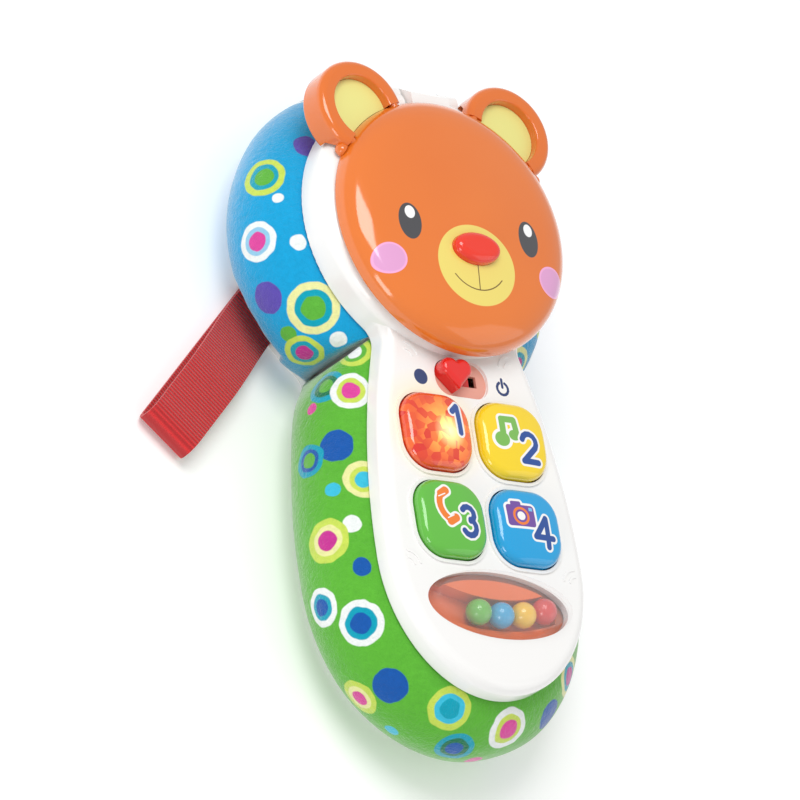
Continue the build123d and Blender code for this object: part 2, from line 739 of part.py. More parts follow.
with BuildPart() as heart_slider:
    lobe = HEART_A / (2 * sqrt(2))
    with BuildSketch(Plane.XY.offset(PANEL_Z - 1.0 + GAP)):
        with Locations((heart_x, SLOT_Y - 0.3)):
            Rectangle(HEART_A, HEART_A, rotation=45)
        with Locations((heart_x - lobe, SLOT_Y + lobe - 0.3), (heart_x + lobe, SLOT_Y + lobe - 0.3)):
            Circle(HEART_A / 2)
    extrude(amount=HEART_TOP - PANEL_Z + 1.0 - GAP)
    fillet(heart_slider.edges().group_by(Axis.Z)[-1], 1.5)
    with BuildSketch(Plane.XY.offset(PANEL_Z - PANEL_T - GAP)):
        with Locations((heart_x, SLOT_Y)):
            Rectangle(4.0, 3.0)
    extrude(amount=2.6)
    with BuildSketch(Plane.XY.offset(PANEL_Z - PANEL_T - GAP)):
        with Locations((heart_x, SLOT_Y)):
            RectangleRounded(15.0, 7.6, 1.5)
    extrude(amount=-1.2)
    with BuildSketch(Plane.XY.offset(PANEL_Z - PANEL_T - GAP - 1.0)):
        with Locations((heart_x, SLOT_Y)):
            Rectangle(4.4, 4.4)
    extrude(amount=-(PANEL_Z - PANEL_T - GAP - 1.0 - SWITCH_TOP - 0.3))
    with BuildSketch(Plane.XY.offset(SWITCH_TOP)):
        with Locations((heart_x, SLOT_Y)):
            Rectangle(2.04, 2.04)
    extrude(amount=2.5, mode=Mode.SUBTRACT)
save(heart_slider, "heart_slider")

with BuildPart() as reed_switch:
    with BuildSketch(Plane.XY.offset(BOARD_Z + BOARD_T + 0.02)):
        with Locations((0, 12.6)):
            Rectangle(9.0, 2.2)
    extrude(amount=2.0)
save(reed_switch, "reed_switch")

# --------------------------------------------------------------------- bead window
with BuildPart() as bead_window:
    with BuildSketch(Plane.XY.offset(PANEL_Z - PANEL_T - GAP)):
        with Locations((0, WIN_Y)):
            Ellipse(WIN_A, WIN_B)
    extrude(amount=WIN_TOP - PANEL_Z + PANEL_T + GAP)
    fillet(bead_window.edges().group_by(Axis.Z)[-1], 2.2)
    with BuildSketch(Plane.XY.offset(PANEL_Z - PANEL_T - GAP)):
        with Locations((0, WIN_Y)):
            Ellipse(WIN_A + 1.5, WIN_B + 1.2)
    extrude(amount=-1.3)
    with BuildSketch(Plane.XY.offset(PANEL_Z - PANEL_T - GAP - 2)):
        with Locations((0, WIN_Y)):
            Ellipse(WIN_A - WIN_T, WIN_B - WIN_T)
    extrude(amount=WIN_TOP - WIN_T - PANEL_Z + PANEL_T + GAP + 2, mode=Mode.SUBTRACT)
save(bead_window, "bead_window")

tray_top = PANEL_Z - PANEL_T - GAP - 1.3 - GAP
trough_in = BEAD_ARC_R - BEAD_D / 2 - 0.35
trough_out = BEAD_ARC_R + BEAD_D / 2 + 0.35
with BuildPart() as bead_tray:
    with BuildSketch(Plane.XY.offset(TRAY_FLOOR - 1.4)):
        with Locations((0, WIN_Y)):
            Ellipse(WIN_A + 1.5, WIN_B + 1.2)
    extrude(amount=tray_top - TRAY_FLOOR + 1.4)
    with BuildSketch(Plane.XY.offset(tray_top - 0.5)):
        with Locations((0, WIN_Y)):
            Ellipse(WIN_A - WIN_T - 0.25, WIN_B - WIN_T - 0.25)
        with Locations((0, BEAD_ARC_Y)):
            Circle(trough_out - 0.02, mode=Mode.INTERSECT)
    extrude(amount=41.2 - tray_top + 0.5)
    fillet(bead_tray.edges().group_by(Axis.Z)[-1], 0.6)
    with BuildSketch(Plane.XY.offset(TRAY_FLOOR)):
        with Locations((0, WIN_Y)):
            Ellipse(WIN_A - WIN_T - 0.2, WIN_B + 1.0)
        with Locations((0, BEAD_ARC_Y)):
            Circle(trough_out, mode=Mode.INTERSECT)
            Circle(trough_in, mode=Mode.SUBTRACT)
    extrude(amount=12, mode=Mode.SUBTRACT)
save(bead_tray, "bead_tray")

bead_step_deg = degrees(BEAD_STEP / BEAD_ARC_R)
for place, colour in enumerate(("green", "blue", "yellow", "red")):
    turn = radians(BEAD_FIRST + place * bead_step_deg)
    with BuildPart() as bead:
        centre = (
            BEAD_ARC_R * sin(turn),
            BEAD_ARC_Y - BEAD_ARC_R * cos(turn),
            TRAY_FLOOR + 0.08 + BEAD_D / 2,
        )
        with Locations(centre):
            Sphere(BEAD_D / 2)
    save(bead, f"bead_{colour}")

# -------------------------------------------------------------------- bear-face flap
NOSE_A = 7.8
NOSE_B = 4.7
ear_dist = hypot(EAR_X, EAR_Y - FACE_Y)


PEG_TURN = degrees(acos((FACE_R**2 + ear_dist**2 - 12.0**2) / (2 * FACE_R * ear_dist)))
PEG_Z = FACE_Z + 2.3


def peg_plane(side, turn):
    """Plane through the face centre, facing out toward the ear plus turn."""
    heading = atan2(EAR_Y - FACE_Y, side * EAR_X) + radians(turn)
    return Plane(
        origin=(0, FACE_Y, PEG_Z),
        x_dir=(-sin(heading), cos(heading), 0),
        z_dir=(cos(heading), sin(heading), 0),
    )


with BuildPart(mode=Mode.PRIVATE) as face_cylinder:
    with BuildSketch(Plane.XY.offset(0)):
        with Locations((0, FACE_Y)):
            Circle(FACE_R + 0.04)
    extrude(amount=80)
with BuildPart(mode=Mode.PRIVATE) as head_clear:
    with BuildSketch(Plane.XY.offset(0)):
        with Locations((0, HEAD_Y)):
            Circle(HEAD_R + 0.7)
    extrude(amount=HEAD_TOP_Z + 0.6)
    chamfer(head_clear.edges().group_by(Axis.Z)[-1], EAR_CLEAR_CHAMFER)

with BuildPart() as face_shell:
    add(dome(0))
    add(dome(FACE_T, FACE_Z - 1), mode=Mode.SUBTRACT)
    # nose hole and the notch over the hinge arm
    with BuildSketch(Plane.XY.offset(FACE_Z)):
        with Locations((0, NOSE_Y)):
            Ellipse(NOSE_A, NOSE_B)
    extrude(amount=20, mode=Mode.SUBTRACT)
    with Locations((0, FACE_Y + FACE_R, FACE_Z + 0.9)):
        Box(2 * ARM_HALF + 0.4, 12, 2.4, mode=Mode.SUBTRACT)
    for side in (-1, 1):
        for peg_turn in (-PEG_TURN, PEG_TURN):
            with BuildSketch(peg_plane(side, peg_turn).offset(FACE_R - 4)):
                Circle(1.3)
            extrude(amount=6, mode=Mode.SUBTRACT)
save(face_shell, "face_shell")

for side, label in ((-1, "left"), (1, "right")):
    with BuildPart() as ear:
        with BuildSketch(Plane.XY.offset(EAR_LOW)):
            with Locations((side * EAR_X, EAR_Y)):
                Circle(EAR_R)
        extrude(amount=EAR_TOP - EAR_LOW)
        fillet(ear.edges().group_by(Axis.Z)[-1], 2.2)
        fillet(ear.edges().group_by(Axis.Z)[0], 1.0)
        with BuildSketch(Plane.XY.offset(EAR_TOP - 4.2)):
            with Locations((side * EAR_X, EAR_Y)):
                Circle(EAR_IN_R)
        extrude(amount=8, mode=Mode.SUBTRACT)
        rim = ear.edges().filter_by(GeomType.CIRCLE).group_by(Axis.Z)[-1]
        fillet([e for e in rim if abs(e.radius - EAR_IN_R) < 0.01], 0.7)
        # small rounded lug where the ear meets the face
        lug_turn = atan2(EAR_Y - FACE_Y, side * EAR_X) - side * radians(21.6)
        lug_at = (
            (FACE_R + 0.5) * cos(lug_turn),
            FACE_Y + (FACE_R + 0.5) * sin(lug_turn),
            FACE_Z + 0.6,
        )
        with Locations(lug_at):
            Sphere(2.0)
        add(face_cylinder.part, mode=Mode.SUBTRACT)
        add(head_clear.part, mode=Mode.SUBTRACT)
        # pegs that plug into the shell
        for peg_turn in (-PEG_TURN, PEG_TURN):
            with BuildSketch(peg_plane(side, peg_turn).offset(FACE_R - 2.0)):
                Circle(1.2)
            extrude(amount=4.2)
    save(ear, f"ear_{label}")
    with BuildPart() as ear_insert:
        with BuildSketch(Plane.XY.offset(EAR_TOP - 4.2 + 0.02)):
            with Locations((side * EAR_X, EAR_Y)):
                Circle(EAR_IN_R - 0.06)
        extrude(amount=1.3)
        add(face_cylinder.part, mode=Mode.SUBTRACT)
        add(head_clear.part, mode=Mode.SUBTRACT)
    save(ear_insert, f"ear_insert_{label}")

NOSE_TOP = FACE_Z + FACE_H + 2.6
NOSE_FLANGE_Z = FACE_Z + 6.2
with BuildPart() as nose_final:
    with BuildSketch(Plane.XY.offset(NOSE_FLANGE_Z)):
        with Locations((0, NOSE_Y)):
            Ellipse(NOSE_A - 0.05, NOSE_B - 0.05)
    extrude(amount=NOSE_TOP - NOSE_FLANGE_Z)
    fillet(nose_final.edges().group_by(Axis.Z)[-1], 2.3)
    with BuildSketch(Plane.XY.offset(NOSE_FLANGE_Z)):
        with Locations((0, NOSE_Y)):
            Ellipse(NOSE_A + 0.9, NOSE_B + 0.9)
    extrude(amount=1.0)
save(nose_final, "nose")

with BuildPart() as face_backing:
    with BuildSketch(Plane.XY.offset(FACE_Z + 0.1)):
        with Locations((0, FACE_Y)):
            Circle(FACE_R - FACE_T - 1.0)
    extrude(amount=1.4)
    # stiffening ring and magnet seat
    with BuildSketch(Plane.XY.offset(FACE_Z + 1.4)):
        with Locations((0, FACE_Y)):
            Circle(22.0)
            Circle(20.8, mode=Mode.SUBTRACT)
        with Locations((0, FACE_Y - 31.6)):
            Circle(4.4)
            Circle(3.1, mode=Mode.SUBTRACT)
    extrude(amount=1.6)
    # screw posts that reach up inside the shell
    with BuildSketch(Plane.XY.offset(FACE_Z + 1.4)):
        with Locations((0, FACE_Y)):
            with PolarLocations(26.0, 4, 45):
                Circle(1.8)
    extrude(amount=4.0)
    # hinge arm
    with BuildSketch(Plane.YZ.offset(-ARM_HALF)):
        with BuildLine():
            Polyline(
                (82.6, FACE_Z + 0.1),
                (85.0, FACE_Z + 0.1),
                (HINGE_Y - 2.9, HINGE_Z + 3.2),
                (HINGE_Y - 2.7, HINGE_Z),
                (HINGE_Y + 1.9, HINGE_Z),
                (HINGE_Y + 2.2, HINGE_Z + 1.9),
                (HINGE_Y - 1.2, FACE_Z + 1.9),
                (82.6, FACE_Z + 1.9),
                close=True,
            )
        make_face()
    extrude(amount=2 * ARM_HALF)
    with BuildSketch(hinge_plane.offset(-ARM_HALF)):
        Circle(KNUCKLE_R - 0.1)
    extrude(amount=2 * ARM_HALF)
    with BuildSketch(hinge_plane.offset(-ARM_HALF - 1)):
        Circle(PIN_D / 2 + RUN_GAP)
    extrude(amount=2 * ARM_HALF + 2, mode=Mode.SUBTRACT)
save(face_backing, "face_backing")

with BuildPart() as flap_magnet:
    with BuildSketch(Plane.XY.offset(FACE_Z + 1.52)):
        with Locations((0, FACE_Y - 31.6)):
            Circle(3.05)
    extrude(amount=1.8)
save(flap_magnet, "flap_magnet")

with BuildPart() as flap_bumpers:
    with BuildSketch(Plane.XY.offset(HEAD_TOP_Z)):
        with Locations((-12.5, 20.6), (12.5, 20.6)):
            Circle(2.2)
    extrude(amount=FACE_Z + 0.1 - HEAD_TOP_Z - 0.05)
    fillet(flap_bumpers.edges().group_by(Axis.Z)[-1], 0.3)
save(flap_bumpers, "flap_bumpers")

# ------------------------------------------------------------- speaker and its clamp
with BuildPart() as speaker:
    with BuildSketch(Plane.XZ):
        with BuildLine():
            Polyline(
                (0, PLATE_T + 1.3),
                (4.6, PLATE_T + 0.6),
                (6, PLATE_T + 1.5),
                (13.4, PLATE_T + 0.5),
                (15, PLATE_T + 0.9),
                (16, PLATE_T + 0.05),
                (SPEAKER_R, PLATE_T + 0.05),
                (SPEAKER_R, PLATE_T + 1.5),
                (14.0, PLATE_T + 1.5),
                (12.0, PLATE_T + 5.4),
                (9.0, PLATE_T + 5.4),
                (9.0, PLATE_T + 9.8),
                (8.2, PLATE_T + 10.4),
                (0, PLATE_T + 10.4),
                close=True,
            )
        make_face()
    revolve(axis=Axis.Z)
with BuildPart() as speaker_placed:
    add(speaker.part.moved(Location((0, SPEAKER_Y, 0))))
save(speaker_placed, "speaker")

CLAMP_SPOTS = ((-22.4, SPEAKER_Y + 6), (22.4, SPEAKER_Y + 6))
post_top = PLATE_T - 0.3 + 4.4
with BuildPart() as speaker_clamp:
    with BuildSketch(Plane.XY.offset(post_top + 0.05)):
        with Locations((0, SPEAKER_Y)):
            Circle(19.0)
        with Locations(*CLAMP_SPOTS):
            Circle(3.2)
        with Locations((-19.5, SPEAKER_Y + 6), (19.5, SPEAKER_Y + 6)):
            Rectangle(6.0, 6.4)
        with Locations((0, SPEAKER_Y)):
            Circle(14.6, mode=Mode.SUBTRACT)
        with Locations(*CLAMP_SPOTS):
            Circle(1.1, mode=Mode.SUBTRACT)
    extrude(amount=1.6)
    with BuildSketch(Plane.XY.offset(PLATE_T + 1.55)):
        with Locations((0, SPEAKER_Y)):
            Circle(17.0)
            Circle(14.8, mode=Mode.SUBTRACT)
    extrude(amount=post_top - PLATE_T - 1.3)
save(speaker_clamp, "speaker_clamp")

clamp_top = post_top + 1.65
with BuildPart() as clamp_screws:
    for spot_x, spot_y in CLAMP_SPOTS:
        add(screw(clamp_top + 0.03 + 1.35, 3.4, 1.8, 0.8, up=False).moved(Location((spot_x, spot_y, 0))))
save(clamp_screws, "clamp_screws")

# ------------------------------------------------------------------------ fasteners
with BuildPart() as case_screws:
    for spot_x, spot_y in CASE_SCREWS:
        seat = SKIRT_LOW - 3.8
        add(screw(seat - 1.82, seat + 13.0, 2.4, 1.2).moved(Location((spot_x, spot_y, 0))))
save(case_screws, "case_screws")

with BuildPart() as board_screws:
    for spot_x, spot_y in BOARD_SCREWS:
        add(screw(BOARD_Z - 1.45, BOARD_Z + 6.6, 1.9, 0.9).moved(Location((spot_x, spot_y, 0))))
save(board_screws, "board_screws")

# ------------------------------------------------------------------- battery parts
def cell(direction):
    """An AAA cell along Y, its nub toward direction."""
    with BuildPart() as one:
        with BuildSketch(Plane.XZ.offset(CELL_L / 2)):
            Circle(CELL_D / 2)
        extrude(amount=-(CELL_L - 1.0))
        fillet(one.edges().group_by(Axis.Y)[0], 0.5)
        fillet(one.edges().group_by(Axis.Y)[-1], 0.8)
        with BuildSketch(Plane.XZ.offset(-(CELL_L / 2 - 1.2))):
            Circle(1.9)
        extrude(amount=-1.2)
        fillet(one.edges().group_by(Axis.Y)[-1], 0.3)
    turned = one.part if direction > 0 else one.part.rotate(Axis.Z, 180)
    return turned


for cell_side, cell_label in ((-1, "left"), (1, "right")):
    with BuildPart() as battery:
        add(cell(cell_side).moved(Location((cell_side * CELL_X, CELL_Y, CELL_Z))))
    save(battery, f"battery_{cell_label}")

box_end = CELL_L / 2 + 2.2
with BuildPart() as battery_contacts:
    for cell_side in (-1, 1):
        for end_side in (-1, 1):
            plate_y = CELL_Y + end_side * (box_end - 0.32)
            with Locations((cell_side * CELL_X, plate_y, CELL_Z)):
                Box(8.4, 0.5, 8.4)
            nub_end = end_side == cell_side
            reach = 1.55 if nub_end else 1.6
            tip_y = CELL_Y + end_side * (box_end - 0.57 - reach)
            low_y = min(plate_y, tip_y)
            with BuildSketch(Plane.XZ.offset(-low_y)):
                with Locations((cell_side * CELL_X, CELL_Z)):
                    Circle(1.3 if nub_end else 3.3)
                    if not nub_end:
                        Circle(2.5, mode=Mode.SUBTRACT)
            extrude(amount=-abs(plate_y - tip_y))
save(battery_contacts, "battery_contacts")

with BuildPart() as battery_door:
    with BuildSketch(Plane.XY):
        with Locations((0, DOOR_Y)):
            RectangleRounded(4 * CELL_X + 5.4 - 2 * JOINT_GAP, DOOR_L - 2 * JOINT_GAP, 2.8)
    extrude(amount=1.6)
    fillet(battery_door.edges().group_by(Axis.Z)[0], 0.4)
    with BuildSketch(Plane.XY.offset(1.0)):
        with Locations((0, DOOR_SCREW_Y)):
            Circle(2.9)
    extrude(amount=2.1)
    with BuildSketch(Plane.XY.offset(-1)):
        with Locations((0, DOOR_SCREW_Y)):
            Circle(2.1)
    extrude(amount=3.1, mode=Mode.SUBTRACT)
    with BuildSketch(Plane.XY.offset(1)):
        with Locations((0, DOOR_SCREW_Y)):
            Circle(1.2)
    extrude(amount=4, mode=Mode.SUBTRACT)
    # grip ribs
    with BuildSketch(Plane.XY.offset(0.0)):
        with Locations((0, CELL_Y + CELL_L / 2 - 4)):
            with GridLocations(0, 2.4, 1, 4):
                SlotOverall(14, 1.0)
    extrude(amount=0.5, mode=Mode.SUBTRACT)
save(battery_door, "battery_door")

with BuildPart() as door_screw:
    add(screw(0.62, 9.0, 1.95, 1.0).moved(Location((0, DOOR_SCREW_Y, 0))))
save(door_screw, "door_screw")

# ------------------------------------------------------------------ internal leads
with BuildPart() as battery_leads:
    for lead_x in (-CELL_X, CELL_X):
        with BuildLine():
            lead = Spline(
                (lead_x, CELL_Y + box_end - 0.05, 11.0),
                (lead_x, CELL_Y + box_end + 4.0, 12.0),
                (lead_x * 1.1, CELL_Y + box_end + 6.4, 20.0),
                (lead_x * 1.2, CELL_Y + box_end + 5.4, BOARD_Z - 0.05),
                tangents=[(0, 1, 0), (0, 0, 1)],
            )
        with BuildSketch(Plane(origin=lead @ 0, z_dir=lead % 0)):
            Circle(0.6)
        sweep(path=lead)
save(battery_leads, "battery_leads")

with BuildPart() as speaker_leads:
    for lead_x in (-2.6, 2.6):
        with BuildLine():
            lead = Spline(
                (lead_x, SPEAKER_Y - 11.0, PLATE_T + 5.45),
                (lead_x, SPEAKER_Y - 13.0, 12.0),
                (lead_x * 1.2, 25.0, 20.0),
                (lead_x * 1.4, 8.0, BOARD_Z - 0.05),
                tangents=[(0, 0, 1), (0, 0, 1)],
            )
        with BuildSketch(Plane(origin=lead @ 0, z_dir=lead % 0)):
            Circle(0.6)
        sweep(path=lead)
save(speaker_leads, "speaker_leads")

# --------------------------------------------------------------------------- strap
loop_r = BAR_D / 2 + 0.15 + STRAP_T / 2
low_mid = STRAP_REST + STRAP_T / 2
waist_mid = low_mid + STRAP_T + 0.15
crown_mid = low_mid + STRAP_GAP + STRAP_T
end_r = (crown_mid - low_mid) / 2


def strap_middle():
    """Points on the middle of the webbing, all the way round the loop."""
    pts = []
    for k in range(9):
        turn = radians(90 + 180 * k / 8)
        pts.append((loop_r * cos(turn), BAR_Z + loop_r * sin(turn)))
    flat_end = STRAP_LEN - end_r
    for k in range(1, 13):
        pts.append((flat_end * k / 12, low_mid))
    for k in range(1, 7):
        turn = radians(-90 + 180 * k / 7)
        pts.append((flat_end + end_r * cos(turn), low_mid + end_r + end_r * sin(turn)))
    top_steps = 14
    for k in range(top_steps + 1):
        along = flat_end * (1 - k / top_steps)
        if along < 2.0:
            continue
        if along < 10.0:
            blend = (10.0 - along) / 10.0
            z = waist_mid + (BAR_Z + loop_r - waist_mid) * blend * blend * (3 - 2 * blend)
        else:
            blend = min(1.0, (along - 10.0) / 34.0)
            z = waist_mid + (crown_mid - waist_mid) * blend * blend * (3 - 2 * blend)
        pts.append((along, z))
    return pts


def strap_edge(shift):
    pts = strap_middle()
    moved = []
    for k, (x, z) in enumerate(pts):
        before = pts[k - 1]
        after = pts[(k + 1) % len(pts)]
        dx = after[0] - before[0]
        dz = after[1] - before[1]
        size = hypot(dx, dz)
        moved.append((x + shift * dz / size, z - shift * dx / size))
    return moved


with BuildPart() as strap:
    with BuildSketch(STRAP_SIDE.offset(-STRAP_W / 2)):
        with BuildLine():
            Spline(*strap_edge(STRAP_T / 2), periodic=True)
        make_face()
        with BuildLine():
            Spline(*strap_edge(-STRAP_T / 2), periodic=True)
        make_face(mode=Mode.SUBTRACT)
    extrude(amount=STRAP_W)
save(strap, "strap")
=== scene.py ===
"""Looks for the toy cell phone: plush skins, printed finishes, lit key, floor and lights.

Laid out as an add-on: one operator per piece or group, one panel, and main() calls them in order.
Units are metres and +Z is up; the toy lies on its back on Z = 0.
"""
import math

import bmesh
import bpy
from mathutils import Matrix, Vector, noise

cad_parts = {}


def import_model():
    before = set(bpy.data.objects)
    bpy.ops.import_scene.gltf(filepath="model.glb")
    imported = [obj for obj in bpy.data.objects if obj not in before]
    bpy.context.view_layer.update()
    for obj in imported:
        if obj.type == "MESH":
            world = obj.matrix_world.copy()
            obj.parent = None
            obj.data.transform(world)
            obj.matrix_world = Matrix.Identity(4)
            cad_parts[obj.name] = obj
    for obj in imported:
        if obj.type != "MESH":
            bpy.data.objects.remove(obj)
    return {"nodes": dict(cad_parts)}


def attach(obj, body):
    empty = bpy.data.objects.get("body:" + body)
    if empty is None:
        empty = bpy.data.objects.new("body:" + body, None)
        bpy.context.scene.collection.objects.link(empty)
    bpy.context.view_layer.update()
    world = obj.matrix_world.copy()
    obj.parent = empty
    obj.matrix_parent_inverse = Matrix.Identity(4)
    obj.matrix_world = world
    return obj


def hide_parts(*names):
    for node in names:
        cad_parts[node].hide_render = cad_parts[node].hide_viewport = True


bl_info = {
    "name": "Toy Phone Looks",
    "version": (1, 0, 0),
    "blender": (4, 5, 0),
    "location": "View3D > Sidebar > Toy Phone",
    "description": "Builds the soft pieces, finishes, floor and lights of the toy phone",
    "category": "Object",
}

MM = 0.001
# strap: where its bar is, which way it leaves, and the hollow that its swing needs
STRAP_BAR = (-0.0305, 0.0446)
STRAP_HEADING = math.radians(227.0)
STRAP_ROOM_HALF = 0.0125
STRAP_ROOM_FADE = 0.003
STRAP_ROOF = 0.0064
STRAP_ROOF_SLOPE = 0.285
# neck seam: height and place of its corner, slope, and the slope's normal
SEAM_Y = 0.021
SEAM_X = 0.020
SEAM_SLOPE = 0.5
SEAM_NORMAL = 0.894
SEAM_GAP = 0.0001
SEAM_PINCH_WIDTH = 0.0045
SEAM_SEARCH_FROM = 0.55
# padding section: lip inside the outline, its inner wall, and the depth where the seam search stops
LIP = 0.0008
INNER = -0.00462
SHALLOW = -0.003
ROWS = 34
SMOOTH_ANGLE = 70
# lumps all over the padding, and pleats that grow towards its upper edge
LUMP = 0.00045
LUMP_SCALE = 55.0
PLEAT = 0.00035
PLEAT_SCALE = 210.0
PLEAT_FROM_Z = 0.028
PLEAT_FADE = 0.006
# outline of the body: share of the way that each flank takes, and where the flank ends
FLANK_SHARE = 0.4
FLANK_TOP = 0.03
# spacing of the prints on the sides that the near list doesn't reach
FAR_STEP = 0.0052
FAR_GAP = 0.9
FAR_SAMPLES = 400
FAR_ROWS = (0.20, 0.66, 0.42, 0.88)
# softness of printed edges
CRISP = 0.00012
FINE = 0.0001
# view: its axes, what it aims at, its scale in picture points per mm and the shift of the aim
VIEW_RIGHT = (0.79806, -0.14732, 0.58429)
VIEW_UP = (-0.11234, 0.91627, 0.38447)
VIEW_CENTRE = (0.0, -0.0245, 0.043)
VIEW_SCALE = 3.652
VIEW_SHIFT = (80.44, 80.8)
VIEW_WIDTH = 800.0
SENSOR = 36.0
# the frame's nodes by name, filled in by main()
LOADED = {}


# ------------------------------------------------------------------ shader helpers
class Sock:
    """A shader socket that can be used in sums, products and other maths."""

    def __init__(self, mat, out):
        self.mat = mat
        self.out = out

    def _m(self, op, *args, clamp=False):
        return self.mat.node("ShaderNodeMath", {"operation": op, "use_clamp": clamp}, dict(enumerate(args)))

    def __add__(self, o):
        return self._m("ADD", self, o)

    def __radd__(self, o):
        return self._m("ADD", o, self)

    def __sub__(self, o):
        return self._m("SUBTRACT", self, o)

    def __rsub__(self, o):
        return self._m("SUBTRACT", o, self)

    def __mul__(self, o):
        return self._m("MULTIPLY", self, o)

    def __rmul__(self, o):
        return self._m("MULTIPLY", o, self)

    def abs(self):
        return self._m("ABSOLUTE", self)

    def min(self, o):
        return self._m("MINIMUM", self, o)

    def max(self, o):
        return self._m("MAXIMUM", self, o)

    def sin(self):
        return self._m("SINE", self)

    def sqrt(self):
        return self._m("SQRT", self)

    def below(self, edge, soft):
        """1 where the value is under edge, fading over soft."""
        return self._m("MULTIPLY_ADD", self, -1.0 / soft, edge / soft + 0.5, clamp=True)

    def above(self, edge, soft):
        """1 where the value is over edge, fading over soft."""
        return self._m("MULTIPLY_ADD", self, 1.0 / soft, 0.5 - edge / soft, clamp=True)


class Finish:
    """One procedural material built from nodes."""

    def __init__(self, name):
        self.mat = bpy.data.materials.new(name)
        self.mat.use_nodes = True
        self.tree = self.mat.node_tree
        self.tree.nodes.clear()
        self.out = self.tree.nodes.new("ShaderNodeOutputMaterial")
        self.shader = self.tree.nodes.new("ShaderNodeBsdfPrincipled")
        self.tree.links.new(self.shader.outputs[0], self.out.inputs[0])

    def node(self, kind, settings=None, values=None, output=0):
        n = self.tree.nodes.new(kind)
        for key, value in (settings or {}).items():
            setattr(n, key, value)
        for key, value in (values or {}).items():
            socket = n.inputs[key]
            if isinstance(value, Sock):
                self.tree.links.new(value.out, socket)
            else:
                socket.default_value = value
        return Sock(self, n.outputs[output])

    def set(self, **values):
        for key, value in values.items():
            socket = self.shader.inputs[key.replace("_", " ")]
            if isinstance(value, Sock):
                self.tree.links.new(value.out, socket)
            else:
                socket.default_value = value
        return self

    def place(self):
        return self.node("ShaderNodeTexCoord", output="Object")

    def split(self, vector):
        n = self.tree.nodes.new("ShaderNodeSeparateXYZ")
        self.tree.links.new(vector.out, n.inputs[0])
        return [Sock(self, n.outputs[i]) for i in range(3)]

    def vec(self, op, a, b, output=0):
        return self.node("ShaderNodeVectorMath", {"operation": op}, {0: a, 1: b}, output)

    def scaled(self, vector, factor):
        return self.node("ShaderNodeVectorMath", {"operation": "SCALE"}, {0: vector, "Scale": factor})

    def mix(self, factor, a, b):
        return self.node(
            "ShaderNodeMix", {"data_type": "RGBA"}, {"Factor": factor, "A": a, "B": b}, "Result"
        )

    def noise(self, vector, scale, detail=2.0, rough=0.5):
        return self.node(
            "ShaderNodeTexNoise", {}, {"Vector": vector, "Scale": scale, "Detail": detail, "Roughness": rough}
        )

    def bump(self, height, strength, distance):
        return self.node(
            "ShaderNodeBump", {}, {"Height": height, "Strength": strength, "Distance": distance}
        )

    def spot(self, x, y, cx, cy, rx, ry):
        """0 at the centre of an ellipse on the XY plane and 1 on its edge; sizes in mm."""
        u = (x - cx * MM) * (1.0 / (rx * MM))
        v = (y - cy * MM) * (1.0 / (ry * MM))
        return (u * u + v * v).sqrt()

    def block(self, x, y, cx, cy, hx, hy, r):
        """Distance in metres from a rounded box on the XY plane; sizes in mm."""
        dx = ((x - cx * MM).abs() - (hx - r) * MM).max(0.0)
        dy = ((y - cy * MM).abs() - (hy - r) * MM).max(0.0)
        return (dx * dx + dy * dy).sqrt() - r * MM

    def stroke(self, flat, points):
        """Distance in metres from a polyline on the XY plane; points in mm."""
        best = None
        for a, b in zip(points, points[1:]):
            ax, ay = a[0] * MM, a[1] * MM
            bx, by = (b[0] - a[0]) * MM, (b[1] - a[1]) * MM
            pa = self.vec("SUBTRACT", flat, (ax, ay, 0.0))
            along = self.vec("DOT_PRODUCT", pa, (bx, by, 0.0), "Value")
            h = along._m("MULTIPLY", along, 1.0 / (bx * bx + by * by), clamp=True)
            off = self.vec("SUBTRACT", pa, self.scaled((bx, by, 0.0), h))
            d = self.node("ShaderNodeVectorMath", {"operation": "LENGTH"}, {0: off}, "Value")
            best = d if best is None else best.min(d)
        return best


def rgb(r, g, b):
    """Linear colour from display values 0..255."""
    def lin(c):
        c /= 255.0
        return c / 12.92 if c <= 0.04045 else ((c + 0.055) / 1.055) ** 2.4
    return (lin(r), lin(g), lin(b), 1.0)


WHITE = rgb(243, 242, 240)
BLUE_INK = rgb(22, 72, 150)
ORANGE = rgb(222, 110, 30)
PALE = rgb(228, 226, 138)


def gloss(name, colour, rough, coat):
    """Moulded plastic with a fine uneven shine."""
    f = Finish(name)
    grain = f.noise(f.place(), 900.0)
    f.set(Base_Color=colour, Roughness=grain * 0.05 + rough, Coat_Weight=coat, Coat_Roughness=0.06)
    return f


def apply(node, finish, nodes):
    """Gives a node of the frame one finish in place of whatever it has."""
    o = nodes[node]
    o.data.materials.clear()
    o.data.materials.append(finish.mat)


def arc(cx, cy, r, start, end, steps):
    """Points along an arc; angles in degrees from +X."""
    out = []
    for k in range(steps + 1):
        a = math.radians(start + (end - start) * k / steps)
        out.append((cx + r * math.cos(a), cy + r * math.sin(a)))
    return out


def smooth(obj, angle):
    for p in obj.data.polygons:
        p.use_smooth = True
    obj.data.set_sharp_from_angle(angle=math.radians(angle))


def make_object(name, bm, finish):
    bmesh.ops.recalc_face_normals(bm, faces=bm.faces)
    mesh = bpy.data.meshes.new(name)
    bm.to_mesh(mesh)
    bm.free()
    obj = bpy.data.objects.new(name, mesh)
    bpy.context.scene.collection.objects.link(obj)
    obj.data.materials.append(finish.mat)
    smooth(obj, SMOOTH_ANGLE)
    return obj


